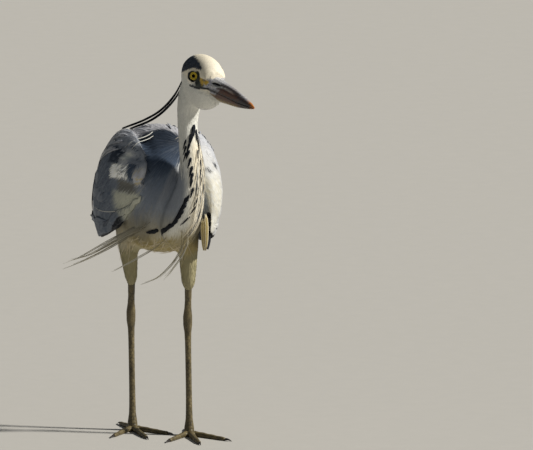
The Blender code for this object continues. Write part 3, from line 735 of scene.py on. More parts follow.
def unwrapped(piece):
    """Unwraps the skin's own shape into the map that the coat's patches follow."""
    bpy.ops.object.select_all(action="DESELECT")
    piece.select_set(True)
    bpy.context.view_layer.objects.active = piece
    piece.data.uv_layers.new(name="OFBake")
    bpy.ops.object.mode_set(mode="EDIT")
    bpy.ops.mesh.select_all(action="SELECT")
    bpy.ops.uv.smart_project(angle_limit=math.radians(72), island_margin=0.002)
    bpy.ops.object.mode_set(mode="OBJECT")
    mesh = piece.data
    flat = np.empty(len(mesh.loops) * 2, np.float32)
    mesh.uv_layers["OFBake"].uv.foreach_get("vector", flat)
    spots = np.column_stack([flat.reshape(-1, 2), np.zeros(len(mesh.loops))])
    ground = mesh.copy()
    ground.uv_layers.remove(ground.uv_layers["OFBake"])
    ground.attributes.new("spot", "FLOAT_VECTOR", "CORNER").data.foreach_set("vector", spots.ravel())
    drop_attributes(mesh, ["up", "lie", "size", "wing"])
    return ground


# ---- the coat

# Each coat piece: flesh nodes it grows on, spacing, length, width, lift in degrees, spread of directions in degrees,
# columns and rows of a vane. Lengths in millimetres.
COATS = {
    "coat_face": (("head", "chin"), 0.95, 5.0, 1.2, 2.6, 6, 3, 4),
    "coat_neck": (("neck",), 1.4, 12, 1.5, 1.4, 5, 3, 5),
    "coat_breast": (("breast",), 1.8, 18, 1.8, 1.6, 6, 3, 5),
    "coat_flanks": (("trunk",), 2.3, 18, 2.3, 1.5, 6, 3, 5),
    "coat_wing_left": (("wing_left",), 2.3, 14, 3.4, 1.2, 5, 3, 5),
    "coat_wing_right": (("wing_right",), 2.3, 14, 3.4, 1.6, 5, 3, 5),
    "coat_thighs": (("thigh",), 1.4, 12, 1.4, 3, 6, 3, 5),
}


# What the coat's tree works out, in order: name, operation, and two names or numbers. x and y are a place on a grid 1
# wide and 1 long. Values marked with a star are kept on the points or the vanes.
COAT_SUMS = (
    ("across", "MULTIPLY", "x", 2.0), ("along", "ADD", "y", 0.5), ("square", "MULTIPLY", "across", "across"),
    ("second power", "POWER", "along", 2.0), ("third power", "POWER", "along", 3.0),
    ("fourth power", "POWER", "along", 4.0), ("narrowing", "MULTIPLY", "third power", 0.72),
    ("taper", "SUBTRACT", 1.0, "narrowing"), ("quill", "ADD", "along", 0.06), ("swell", "POWER", "quill", 0.45),
    ("half", "MULTIPLY", "swell", "taper"), ("tip", "MULTIPLY", "second power", 0.2),
    ("rounding", "MULTIPLY", "square", "tip"), ("barbs", "MULTIPLY", "across", 2.0),
    ("teeth", "PINGPONG", "barbs", 1.0), ("zigzag", "MULTIPLY", "teeth", "Notch"),
    ("ragged", "MULTIPLY", "zigzag", "fourth power"), ("back", "ADD", "rounding", "ragged"),
    ("forward", "SUBTRACT", "along", "back"), ("arch", "SUBTRACT", 1.0, "square"),
    ("bulge", "MULTIPLY", "arch", "Camber"), ("slimness", "DIVIDE", "Width", "Length"),
    ("full bulge", "MULTIPLY", "bulge", "half"), ("rise", "MULTIPLY", "full bulge", "slimness"),
    ("full across", "MULTIPLY", "across", "half"), ("half slimness", "MULTIPLY", "slimness", 0.5),
    ("aside", "MULTIPLY", "full across", "half slimness"),
    ("area", "MULTIPLY", "Spacing", "Spacing"), ("density", "DIVIDE", 3.0, "area"),
    ("slope", "MULTIPLY", "Lift", "any slope"), ("any reach", "MULTIPLY", "Length", "any length"),
    ("reach", "MULTIPLY", "*size", "any reach"), ("yaw", "MULTIPLY", "Spread", "any turn"),
    ("climb", "MULTIPLY", "*along", "*slope"), ("own height", "ADD", "*rise", "climb"),
    ("full height", "MULTIPLY", "own height", "*reach"), ("height", "SUBTRACT", "full height", "Sink"),
)


def vane_tree():
    """Geometry Nodes: cambered vanes set over a skin along its lie, with their roots and shares kept for painting."""
    tree = bpy.data.node_groups.new("Coat of vanes", "GeometryNodeTree")
    tree.is_modifier = True
    face = tree.interface
    face.new_socket("Geometry", in_out="INPUT", socket_type="NodeSocketGeometry")
    floats = {"Spacing": 0.003, "Length": 0.012, "Width": 0.004, "Camber": 0.12, "Lift": 0.1, "Spread": 0.15,
              "Notch": 0.08, "Sink": 0.0002}
    for name, value in floats.items():
        face.new_socket(name, in_out="INPUT", socket_type="NodeSocketFloat").default_value = value
    for name, value in {"Columns": 3, "Rows": 5, "Seed": 1}.items():
        face.new_socket(name, in_out="INPUT", socket_type="NodeSocketInt").default_value = value
    face.new_socket("Finish", in_out="INPUT", socket_type="NodeSocketMaterial")
    face.new_socket("Geometry", in_out="OUTPUT", socket_type="NodeSocketGeometry")
    given = add_node(tree, "NodeGroupInput").outputs
    position = add_node(tree, "GeometryNodeInputPosition").outputs[0]
    split = add_node(tree, "ShaderNodeSeparateXYZ", {0: position}).outputs
    known = {**{socket.name: socket for socket in given}, "x": split[0], "y": split[1]}
    for name, kind in (("grow", "FLOAT"), ("up", "FLOAT_VECTOR"), ("lie", "FLOAT_VECTOR"), ("size", "FLOAT"),
                       ("reach", "FLOAT"), ("rise", "FLOAT"), ("along", "FLOAT"), ("slope", "FLOAT")):
        kept = add_node(tree, "GeometryNodeInputNamedAttribute", {"Name": name}, data_type=kind)
        known["*" + name] = kept.outputs["Attribute"]
    for name, low, high, number in (("chance", 0.0, 1.0, 11), ("any slope", 0.5, 1.6, 2), ("any length", 0.8, 1.2, 5),
                                    ("any turn", -1.0, 1.0, 3)):
        seed = add_node(tree, "ShaderNodeMath", {0: given["Seed"], 1: number}, operation="ADD")
        known[name] = add_node(tree, "FunctionNodeRandomValue", {2: low, 3: high, 8: seed.outputs[0]}).outputs[1]
    for name, operation, first, second in COAT_SUMS:
        terms = {0: known.get(first, first), 1: known.get(second, second)}
        known[name] = add_node(tree, "ShaderNodeMath", terms, operation=operation).outputs[0]

    # One vane, 1 long and as wide as its slimness, root at the origin, tip along +Y.
    vane = add_node(tree, "GeometryNodeMeshGrid", {"Size X": 1.0, "Size Y": 1.0, "Vertices X": given["Columns"],
                                                   "Vertices Y": given["Rows"]}).outputs[0]
    for name in ("across", "along", "rise"):
        vane = add_node(tree, "GeometryNodeStoreNamedAttribute", {
            "Geometry": vane, "Name": name, "Value": known[name]}, data_type="FLOAT", domain="POINT").outputs[0]
    shape = add_node(tree, "ShaderNodeCombineXYZ", {0: known["aside"], 1: known["forward"], 2: 0.0})
    vane = add_node(tree, "GeometryNodeSetPosition", {"Geometry": vane, "Position": shape.outputs[0]}).outputs[0]

    # Roots over the skin, each with its place, its chance and its own slope and reach.
    roots = add_node(tree, "GeometryNodeDistributePointsOnFaces", {
        "Mesh": given["Geometry"], "Distance Min": given["Spacing"], "Density Max": known["density"],
        "Density Factor": known["*grow"], "Seed": given["Seed"]}, distribute_method="POISSON").outputs["Points"]
    for name, value, kind in (("root", position, "FLOAT_VECTOR"), ("chance", known["chance"], "FLOAT"),
                              ("slope", known["slope"], "FLOAT"), ("reach", known["reach"], "FLOAT")):
        roots = add_node(tree, "GeometryNodeStoreNamedAttribute", {
            "Geometry": roots, "Name": name, "Value": value}, data_type=kind, domain="POINT").outputs[0]
    along_lie = add_node(tree, "FunctionNodeAxesToRotation", {0: known["*up"], 1: known["*lie"]}, primary_axis="Z",
                         secondary_axis="Y")
    yaw = add_node(tree, "ShaderNodeCombineXYZ", {2: known["yaw"]})
    turn = add_node(tree, "FunctionNodeEulerToRotation", {0: yaw.outputs[0]})
    rotation = add_node(tree, "FunctionNodeRotateRotation", {0: along_lie.outputs[0], 1: turn.outputs[0]},
                        rotation_space="LOCAL")
    scale = add_node(tree, "ShaderNodeCombineXYZ", {k: known["*reach"] for k in range(3)})
    coat = add_node(tree, "GeometryNodeInstanceOnPoints", {
        "Points": roots, "Instance": vane, "Rotation": rotation.outputs[0], "Scale": scale.outputs[0]})
    real = add_node(tree, "GeometryNodeRealizeInstances", {0: coat.outputs[0]})

    # Each vane follows the skin below it, at its own height above it.
    ground = add_node(tree, "GeometryNodeProximity", {0: given["Geometry"]}, target_element="FACES")
    above = add_node(tree, "GeometryNodeSampleNearestSurface", {"Mesh": given["Geometry"], "Value": known["*up"]},
                     data_type="FLOAT_VECTOR")
    off = add_node(tree, "ShaderNodeVectorMath", {0: above.outputs["Value"], "Scale": known["height"]},
                   operation="SCALE")
    there = add_node(tree, "ShaderNodeVectorMath", {0: ground.outputs["Position"], 1: off.outputs[0]}, operation="ADD")
    laid = add_node(tree, "GeometryNodeSetPosition", {"Geometry": real.outputs[0], "Position": there.outputs[0]})
    smooth = add_node(tree, "GeometryNodeSetShadeSmooth", {0: laid.outputs[0]})
    finish = add_node(tree, "GeometryNodeSetMaterial", {"Geometry": smooth.outputs[0], "Material": given["Finish"]})
    add_node(tree, "NodeGroupOutput", {0: finish.outputs[0]})
    return tree


COAT_END = 262 * MM  # the small feathers end at this y, under the tail's


def set_inputs(modifier, tree, values):
    """Sets a Geometry Nodes modifier's inputs by name, through the identifiers of their sockets."""
    keys = {s.name: s.identifier for s in tree.interface.items_tree if s.in_out == "INPUT"}
    for name, value in values.items():
        modifier[keys[name]] = value


def set_patches(mesh, patch=0.003):
    """Turns each vane's spot on the skin's unwrap into a small patch of the bake map, and adds its own map."""
    corners = np.empty(len(mesh.loops), np.int32)
    mesh.loops.foreach_get("vertex_index", corners)
    across = read_attribute(mesh, "across")[corners]
    along = read_attribute(mesh, "along")[corners]
    spots = read_attribute(mesh, "spot")[corners][:, :2]
    spots = spots + np.stack([across * patch / 2, (along - 0.5) * patch], 1)
    own = np.stack([across * 0.5 + 0.5, along], 1)
    for name, places_2d in (("OFBake", spots), ("Vane", own)):
        layer = mesh.uv_layers.new(name=name)
        layer.uv.foreach_set("vector", places_2d.astype(np.float32).ravel())


def drop_attributes(mesh, names):
    for name in names:
        old = mesh.attributes.get(name)
        if old:
            mesh.attributes.remove(old)


def coat_mesh(skin, mask, tree, finish, seed, scale, measures):
    """One coat piece's mesh, grown on a copy of the skin where the mask is, its feathers' length times scale."""
    spacing, length, width, lift, spread, columns, rows = measures
    ground = skin.copy()
    write_attribute(ground, "grow", mask)

    def add(piece):
        grown = piece.modifiers.new("Coat", "NODES")
        grown.node_group = tree
        set_inputs(grown, tree, {
            "Spacing": spacing * MM, "Length": length * MM * scale, "Width": width * MM, "Seed": seed,
            "Lift": math.radians(lift), "Spread": math.radians(spread), "Columns": columns, "Rows": rows,
            "Finish": finish})

    mesh = evaluated(ground, add)
    set_patches(mesh)
    return mesh


def vary(colours, mesh):
    """Small differences from vane to vane, and a darker root."""
    chance = read_attribute(mesh, "chance")
    along = read_attribute(mesh, "along")
    return colours * (0.93 + 0.14 * chance)[:, None] * (0.92 + 0.12 * along)[:, None]


# ---- finishes


def new_finish(name, roughness):
    """An empty material with its output and Principled shader."""
    finish = bpy.data.materials.new(name)
    finish.use_nodes = True
    tree = finish.node_tree
    tree.nodes.clear()
    shader = add_node(tree, "ShaderNodeBsdfPrincipled")
    shader.inputs["Roughness"].default_value = roughness
    add_node(tree, "ShaderNodeOutputMaterial", {0: shader.outputs[0]})
    return finish, tree, shader


def marked(tree, shader, factor, height, strength):
    """Gives a finish the markings painted on its vertices times a factor, and relief of up to 0.2 mm."""
    tint = add_node(tree, "ShaderNodeAttribute", attribute_name="tint").outputs["Color"]
    colour = add_node(tree, "ShaderNodeVectorMath", {0: tint, "Scale": factor}, operation="SCALE")
    relief = add_node(tree, "ShaderNodeBump", {"Strength": strength, "Distance": 0.2 * MM, "Height": height})
    tree.links.new(colour.outputs[0], shader.inputs["Base Color"])
    tree.links.new(relief.outputs[0], shader.inputs["Normal"])


def keratin_vane(name, roughness, barb_count):
    """Feather vanes: keratin barbs at a slant to the shaft, matt, with a faint dusty grain."""
    finish, tree, shader = new_finish(name, roughness)
    spot = add_node(tree, "ShaderNodeUVMap", uv_map="Vane")
    split = add_node(tree, "ShaderNodeSeparateXYZ", {0: spot.outputs[0]}).outputs
    where = add_node(tree, "ShaderNodeTexCoord").outputs["Object"]
    grain = add_node(tree, "ShaderNodeTexNoise", {"Vector": where, "Scale": 0.26 / MM, "Detail": 3.0}).outputs[0]
    known = {"u": split[0], "v": split[1], "grain": grain}
    for made, operation, first, second in (
        ("aside", "SUBTRACT", "u", 0.5), ("off", "ABSOLUTE", "aside", 0.0), ("back", "MULTIPLY", "v", -1.0),
        ("out", "MULTIPLY", "off", 0.9), ("slant", "ADD", "back", "out"),
        ("phase", "MULTIPLY", "slant", barb_count * 2 * math.pi), ("barbs", "SINE", "phase", 0.0),
        ("shaft", "LESS_THAN", "off", 0.035), ("barb tone", "MULTIPLY", "barbs", 0.03),
        ("grain tone", "MULTIPLY", "grain", 0.3), ("tone", "ADD", "barb tone", "grain tone"),
        ("shaft tone", "MULTIPLY", "shaft", -0.06), ("full tone", "ADD", "tone", "shaft tone"),
        ("factor", "ADD", "full tone", 0.85),
    ):
        terms = {0: known.get(first, first), 1: known.get(second, second)}
        known[made] = add_node(tree, "ShaderNodeMath", terms, operation=operation).outputs[0]
    marked(tree, shader, known["factor"], known["barbs"], 0.12)
    shader.inputs["Specular IOR Level"].default_value = 0.15
    return finish


def grained(name, roughness, grain, share, least, strength, creases=0.0):
    """A finish mottled by a grain, in grains to a millimetre: how much it shows, and the least it leaves of a colour.

    Its relief comes from the grain, or from creases, to a millimetre, where there are some.
    """
    finish, tree, shader = new_finish(name, roughness)
    where = add_node(tree, "ShaderNodeTexCoord").outputs["Object"]
    height = add_node(tree, "ShaderNodeTexNoise", {"Vector": where, "Scale": grain / MM, "Detail": 4.0}).outputs[0]
    factor = add_node(tree, "ShaderNodeMath", {0: height, 1: share, 2: least}, operation="MULTIPLY_ADD")
    if creases:
        height = add_node(tree, "ShaderNodeTexVoronoi", {"Vector": where, "Scale": creases / MM},
                          feature="DISTANCE_TO_EDGE").outputs[0]
    marked(tree, shader, factor.outputs[0], height, strength)
    return finish


def bare_skin(name):
    """Bird skin: thin, matt and finely creased, with the markings of the coat over it."""
    return grained(name, 0.6, 0.5, 0.5, 0.75, 0.5, 0.9)


def horn(name):
    """Horn of bill and claws: layered keratin, satin, finely pitted and worn uneven."""
    return grained(name, 0.38, 0.65, 0.7, 0.65, 0.4)


def scaled_skin(name):
    """Leg skin: dry horny scales with darker dirt between them."""
    return grained(name, 0.45, 0.3, 0.6, 0.7, 0.3)


def wet_eye(name):
    """The eyeball under its cornea: pupil and iris, with no gloss of their own, which the cornea gives."""
    finish, tree, shader = new_finish(name, 0.5)
    tint = add_node(tree, "ShaderNodeAttribute", attribute_name="tint")
    tree.links.new(tint.outputs["Color"], shader.inputs["Base Color"])
    shader.inputs["Specular IOR Level"].default_value = 0.0
    return finish


def clear_cornea(name):
    """Clear wet horn over the eye, as bright and smooth as water."""
    finish, _, shader = new_finish(name, 0.0)
    shader.inputs["Base Color"].default_value = (1, 1, 1, 1)
    shader.inputs["Transmission Weight"].default_value = 1.0
    shader.inputs["IOR"].default_value = 1.12
    return finish


# ---- the stage

AIM = CAD_BOX[1] + Vector((0.0537, -0.3488, -0.2402))  # middle of the view
VIEW_TURN = math.radians(-12)  # the camera stands this far to the bird's right
VIEW_RISE = math.radians(8)
VIEW_WIDTH = 0.6929
VIEW_DISTANCE = 20.0
SENSOR = 36.0


def add_camera():
    data = bpy.data.cameras.new("View")
    data.sensor_width = SENSOR
    data.lens = SENSOR * VIEW_DISTANCE / VIEW_WIDTH
    data.clip_end = 200.0
    camera = linked("View", data)
    back = Vector((math.sin(VIEW_TURN) * math.cos(VIEW_RISE), -math.cos(VIEW_TURN) * math.cos(VIEW_RISE),
                   math.sin(VIEW_RISE)))
    camera.location = AIM + back * VIEW_DISTANCE
    camera.rotation_mode = "QUATERNION"
    camera.rotation_quaternion = (-back).to_track_quat("-Z", "Y")
    bpy.context.scene.camera = camera


def add_sun(name, towards, strength, angle, colour):
    """A soft distant light. towards points from the bird to the light; angle, in degrees, softens its shadows."""
    data = bpy.data.lights.new(name, "SUN")
    data.energy = strength
    data.angle = math.radians(angle)
    data.color = colour
    light = linked(name, data)
    light.rotation_mode = "QUATERNION"
    light.rotation_quaternion = (-Vector(towards)).to_track_quat("-Z", "Y")


def add_floor():
    """A pale matt floor that fills the view."""
    mesh = bpy.data.meshes.new("floor")
    made = bmesh.new()
    bmesh.ops.create_circle(made, cap_ends=True, segments=96, radius=60.0)
    made.to_mesh(mesh)
    made.free()
    finish, tree, shader = new_finish("matt paper floor", 0.9)
    where = add_node(tree, "ShaderNodeTexCoord").outputs["Object"]
    grain = add_node(tree, "ShaderNodeTexNoise", {"Vector": where, "Scale": 40.0, "Detail": 3.0})
    tone = add_node(tree, "ShaderNodeMix", {0: grain.outputs[0], 6: (0.47, 0.455, 0.42, 1), 7: (0.50, 0.48, 0.445, 1)},
                    data_type="RGBA")
    tree.links.new(tone.outputs[2], shader.inputs["Base Color"])
    mesh.materials.append(finish)
    floor = linked("floor", mesh)


# ---- laid vanes

COLUMNS = np.array([-1.0, -0.55, 0.0, 0.55, 1.0])  # places across a blade
MIDDLE = np.array([0.02, -0.05, 0.34])  # inside the body, in metres


class Plumage:
    """Gathers closed thin blades laid over the skin, and makes one mesh of them."""

    def __init__(self):
        self.points, self.across, self.along, self.spots, self.colours, self.faces = [], [], [], [], [], []
        self.count = 0

    def add(self, path, ups, halves, colour, camber=0.16, thickness=0.35, shaft=0.25, start=0.0):
        """One blade: places and outward ways along its shaft, half widths in millimetres, colour(across, along)."""
        rows, ring = len(path), 2 * len(COLUMNS) - 2
        ahead = unit(np.gradient(path, axis=0))
        beside = unit(np.cross(ahead, ups))
        ups = np.cross(beside, ahead)
        across = np.concatenate([COLUMNS, COLUMNS[-2:0:-1]])
        top = np.concatenate([np.ones(len(COLUMNS)), np.zeros(ring - len(COLUMNS))])
        halves = np.asarray(halves, float)[:, None]
        thin = np.linspace(1.0, 0.45, rows)[:, None] * thickness
        ridge = np.where(across == 0, shaft, 0.0) * np.linspace(1.0, 0.3, rows)[:, None]
        heights = halves * camber * (1 - across**2) + np.where(top > 0, ridge, -thin * (across**2 < 0.99))
        off = beside[:, None] * (halves * across)[..., None] + ups[:, None] * heights[..., None]
        points = path[:, None] + off * MM
        self.points.append(points.reshape(-1, 3))
        self.across.append(np.tile(across, rows))
        along = np.repeat(np.linspace(start, 1, rows), ring)
        self.along.append(along)
        self.spots.append(np.repeat(path[:1], rows * ring, axis=0))
        self.colours.append(colour(np.tile(across, rows), along))
        base = self.count + np.arange(rows * ring).reshape(rows, ring)
        after = np.roll(base, -1, axis=1)
        self.faces.append(np.stack([base[:-1], base[1:], after[1:], after[:-1]], -1).reshape(-1, 4))
        half = len(COLUMNS)
        for row, flip in ((0, False), (rows - 1, True)):
            edge = base[row]
            upper = edge[:half]
            lower = np.concatenate([[edge[0]], edge[ring - 1 : half - 1 : -1], [edge[half - 1]]])
            cap = np.stack([upper[:-1], upper[1:], lower[1:], lower[:-1]], -1)
            self.faces.append(cap[:, ::-1] if flip else cap)
        self.count += rows * ring

    def mesh(self, ground):
        """The blades as one mesh, with their own map, their colours and their patches of the bake map."""
        points = np.concatenate(self.points)
        faces = [tuple(dict.fromkeys(f)) for f in np.concatenate(self.faces).tolist()]
        mesh = bpy.data.meshes.new("plumage")
        mesh.from_pydata(points.tolist(), [], faces)
        mesh.update()
        write_attribute(mesh, "across", np.concatenate(self.across))
        write_attribute(mesh, "along", np.concatenate(self.along))
        roots, where = np.unique(np.concatenate(self.spots), axis=0, return_inverse=True)
        spots = np.array([ground.spot(root) for root in roots])[where.ravel()]
        write_attribute(mesh, "spot", spots)
        set_patches(mesh)
        drop_attributes(mesh, ["across", "along", "spot"])
        paint(mesh, np.concatenate(self.colours))
        return mesh


class Ground:
    """A surface to lay feathers on: the skin with its unwrap, or a node without one."""

    def __init__(self, mesh):
        self.tree = tree_of(mesh)
        if "spot" not in mesh.attributes:
            return
        corners = np.empty(len(mesh.loops) * 3, np.float32)
        mesh.attributes["spot"].data.foreach_get("vector", corners)
        self.corners = corners.reshape(-1, 3)
        self.starts = np.empty(len(mesh.polygons), np.int32)
        mesh.polygons.foreach_get("loop_start", self.starts)

    def spot(self, point):
        """Place on the skin's unwrap nearest to a point."""
        return self.corners[self.starts[self.tree.find_nearest(Vector(point))[2]]]

    def from_side(self, side, y, z):
        """Where a level line from the bird's side meets it; y and z in millimetres."""
        hit = self.tree.ray_cast(Vector((0.4 * side, y * MM, z * MM)), Vector((-side, 0, 0)))
        return None if hit[0] is None else np.array(hit[0])

    def from_front(self, x, z):
        hit = self.tree.ray_cast(Vector((x * MM, -0.5, z * MM)), Vector((0, 1, 0)))
        return None if hit[0] is None else np.array(hit[0])

    def walk(self, start, way, length, rows, low=0.6, high=2.0, fall=0.0, stray=1.0):
        """Places and ways up along a feather that starts at a place and lies over the skin, in millimetres.

        Where the skin turns away below it the feather goes straight on, and strays no further than it may."""
        step = length * MM / (rows - 1)
        point, normal, _, _ = self.tree.find_nearest(Vector(start))
        point, normal = np.array(point), np.array(normal)
        way = unit(np.asarray(way, float))
        path, ups = [], []
        for k in range(rows):
            way = unit(way - normal * (way @ normal) * 0.9)
            path.append(point + normal * (low + (high - low) * k / (rows - 1)) * MM)
            ups.append(normal)
            guess = point + way * step + np.array([0, 0, -fall]) * step
            found, turned, _, away = self.tree.find_nearest(Vector(guess))
            turned = np.array(turned)
            if away < step * 0.75 and turned @ normal > 0.1:
                point, normal = np.array(found), unit(0.45 * normal + 0.55 * turned)
            else:
                point = np.array(found) + (guess - np.array(found)) * min(1.0, stray * MM / max(away, 1e-9))
        return np.array(path), np.array(ups)


def vane_halves(rows, half, tip=0.12, root=0.35, belly=0.55):
    """Half widths along a contour feather: narrow quill end, full middle, rounded tip."""
    share = np.linspace(0, 1, rows)
    rise = root + (1 - root) * ramp(0, belly, share)
    round_off = np.sqrt(np.clip(1 - ((share - belly) / (1.0 - belly)).clip(0) ** 2 * (1 - tip**2), 0, 1))
    return half * rise * round_off


def lance_halves(rows, half, tip=0.06):
    """Half widths along a lanceolate plume: fullest near its root and drawn out to a point."""
    share = np.linspace(0, 1, rows)
    return half * (tip + (1 - tip) * np.minimum(ramp(-0.2, 0.25, share), (1 - share) ** 0.75 + 0.02))


def plain(colour, root_shade=0.8, fringe=None):
    """Colour over a vane, with a darker root, and a fringe of another colour at its edges and tip if there is one."""
    def at(across, along):
        made = colour * (root_shade + (1 - root_shade) * along)[:, None]
        if fringe is not None:
            edge = np.maximum(ramp(0.6, 1.0, np.abs(across)), ramp(0.86, 1.0, along))
            made = mix(made, fringe, 0.75 * edge)
        return made
    return at


def strand_line(name, rows):
    """Middle line of a long thin node, from its end nearest the bird's middle to its tip."""
    points = places([name])
    middle = points.mean(0)
    way = np.linalg.svd(points - middle, full_matrices=False)[2][0]
    run = (points - middle) @ way
    edges = np.linspace(run.min(), run.max(), 9)
    line = np.array([points[(run >= a - 1e-6) & (run <= b + 1e-6)].mean(0) for a, b in zip(edges[:-1], edges[1:])])
    first, last = points[run < run.min() + 0.001].mean(0), points[run > run.max() - 0.001].mean(0)
    line = np.array([first, *line[1:-1], last])
    if np.linalg.norm(line[0] - MIDDLE) > np.linalg.norm(line[-1] - MIDDLE):
        line = line[::-1]
    return resampled(line, rows)


def resampled(line, rows):
    """A line cut anew into evenly spaced places, through a smooth curve."""
    line = np.asarray(line, float)
    for _ in range(3):
        finer_line = [line[0]]
        for a, b in zip(line[:-1], line[1:]):
            finer_line += [0.75 * a + 0.25 * b, 0.25 * a + 0.75 * b]
        line = np.array([*finer_line, line[-1]])
    run = np.concatenate([[0], np.cumsum(np.linalg.norm(np.diff(line, axis=0), axis=1))])
    return between(np.linspace(0, run[-1], rows), run, line)


def wing_edges(side_name):
    """Levels y along a wing seen from the side, with its lower and upper edge at each, in millimetres."""
    points = places([f"wing_{side_name}"]) / MM
    levels = np.linspace(points[:, 1].min() + 4, points[:, 1].max() - 4, 24)
    low, high = [], []
    for level in levels:
        near = points[np.abs(points[:, 1] - level) < 16]
        low.append(near[:, 2].min())
        high.append(near[:, 2].max())
    return levels, np.array(low), np.array(high)


def wing_spot(edges, y, share):
    """Height on a wing at a level y: share 0 is its lower edge and 1 its upper one."""
    levels, low, high = edges
    return np.interp(y, levels, low) * (1 - share) + np.interp(y, levels, high) * share


# Rows of wing feathers, lowest first: share of the height at front and back, first and last y, how many, length at
# front and back, half width, and how far a row stands off the skin.
WING_ROWS = [
    (0.22, 0.36, -40, 150, 20, 62, 105, 7.5, -0.2),  # secondaries
    (0.36, 0.55, -50, 130, 28, 26, 58, 5.0, 0.0),  # greater coverts
    (0.54, 0.70, 0, 120, 24, 26, 44, 4.2, 0.2),  # median coverts
]


def wing_feathers(plumage, ground, side, edges, draw):
    """Coverts and secondaries of one folded wing, laid from the lowest row to the highest."""
    for front, back, first, last, count, short, long, half, stand in WING_ROWS:
        for k in range(count):
            share = k / (count - 1)
            y = first + (last - first) * share + draw.uniform(-1.5, 1.5)
            z = wing_spot(edges, y, front + (back - front) * share) + draw.uniform(-2.5, 2.5)
            start = ground.from_side(side, y, z)
            if start is None:
                continue
            length = (short + (long - short) * share) * draw.uniform(0.9, 1.1)
            path, ups = ground.walk(start, [0, 1, -0.5 + 0.25 * share], length, 8, stand, stand + 0.5, 0.0, 0.5)
            tone = draw.uniform(0.93, 1.05)
            first_tone, last_tone = markings(path[[0, -1]], np.ones(2))
            lit = mix(last_tone, hex_of("grey"), 0.5 * ramp(-60, 40, y))

            def colour(across, along, first_tone=first_tone, lit=lit, tone=tone):
                made = mix(first_tone + 0 * along[:, None], lit, ramp(0.0, 0.5, along)) * tone
                fringe = np.maximum(ramp(0.7, 1.0, np.abs(across)), ramp(0.9, 1.0, along))
                return mix(made, hex_of("ash"), 0.18 * fringe)
            plumage.add(path, ups, vane_halves(8, half * draw.uniform(0.9, 1.1)), colour, 0.06, 0.2, 0.12)


def lower_edge(plumage, hull, side, edges, draw):
    """The folded secondaries' lower margin, in two rows along the edge of the packed wing, its hull."""
    first = edges[0][0]
    for rise, stand in ((4.5, 0.0), (12.0, 0.5)):
        for k in range(58):
            y = first + 6.2 * k + draw.uniform(-1, 1)
            low, near, far = (np.interp(y + off, edges[0], edges[1]) for off in (0, -10, 10))
            start = hull.from_side(side, y, low + rise)
            if start is None or y > edges[0][-1]:
                continue
            slope = (far - near) / 20
            front = ramp(-50, -90, y)
            length = 62 - 38 * front
            way = [0, 1, slope - 0.04]
            path, ups = hull.walk(start, way, length * draw.uniform(0.9, 1.1), 8, stand - 1.4, stand - 0.4, 0.0, 0.3)
            body = markings(path, np.ones(len(path)))
            if stand == 0.0 and side < 0:
                body = mix(body, hex_of("ink") + 0 * body, band(path[:, 1] / MM, -72, -5, 5))

            def colour(across, along, body=body, tone=draw.uniform(0.9, 1.05)):
                made = between(along, np.linspace(0, 1, len(body)), body)
                return mix(made, hex_of("ash"), 0.15 * ramp(0.7, 1.0, np.abs(across))) * tone
            half = (6.0 - 2.0 * front) * draw.uniform(0.9, 1.1)
            plumage.add(path, ups, vane_halves(8, half), colour, 0.06, 0.3, 0.15)


def tertials(plumage, ground, side, edges, draw):
    """The long inner feathers that cover the folded wing's end, grey with paler edges."""
    for k in range(6):
        y = 70 + 17 * k
        z = wing_spot(edges, y, 0.55 + 0.06 * k)
        start = ground.from_side(side, y, z)
        if start is None:
            continue
        path, ups = ground.walk(start, [0, 1, -0.5 + 0.05 * k], 120 - 7 * k, 9, 1.2 + 0.3 * k, 2.0 + 0.3 * k)
        tone = mix(hex_of("grey"), hex_of("slate"), 0.25) * draw.uniform(0.9, 1.0)
        plumage.add(path, ups, vane_halves(9, 11.5), plain(tone, 0.8, hex_of("ash")), 0.08)


def scapulars(plumage, ground, side, edges, draw):
    """Long drooping lanceolate plumes from the shoulder over the upper wing."""
    for share, reach, stand in ((0.80, 95, 0.9), (0.90, 125, 1.3), (0.97, 150, 1.7)):
        for k in range(34):
            y = -56 + 4.6 * k + draw.uniform(-2, 2)
            z = wing_spot(edges, y, share) + draw.uniform(-5, 4)
            start = ground.from_side(side, y, z)
            if start is None:
                continue
            length = reach * (0.35 + 0.65 * ramp(-60, 50, y)) * draw.uniform(0.8, 1.1)
            path, ups = ground.walk(start, [0, 1, -0.42 + draw.uniform(-0.05, 0.05)], length, 9, stand, stand + 1.2)
            colour = mix(hex_of("ash"), hex_of("white"), draw.uniform(0.0, 0.4) * ramp(-60, 0, y))
            plumage.add(path, ups, lance_halves(9, draw.uniform(1.5, 2.3)), plain(colour, 0.9), 0.14, 0.3, 0.2)


# Streaks: places x, z from the top down, the row's first and last height, the step between its feathers and their
# half width.
STREAK_ROWS = [
    ([(49, 416), (44, 402), (42, 387), (46, 362), (44, 336), (37, 325), (29, 302), (10, 281), (2, 274)], 416, 318,
     9.5, 2.3),
    ([(42, 330), (37, 325), (29, 302), (10, 281), (2, 274)], 326, 276, 7.0, 3.3),
    ([(52, 412), (54, 396), (53, 385), (57, 369), (56, 355), (52, 330), (48, 312), (41, 300), (38, 288)], 410, 290,
     12.5, 1.5),
    ([(38, 398), (40, 380)], 400, 378, 8.0, 1.5),
    ([(50, 419), (44, 400)], 419, 400, 3.4, 2.2),
    ([(50, 419), (56, 400)], 417, 400, 4.0, 1.9),
    ([(60, 375), (61, 330)], 378, 330, 16.0, 1.2),
    ([(22, 292), (4, 275)], 292, 274, 3.0, 2.8),
]


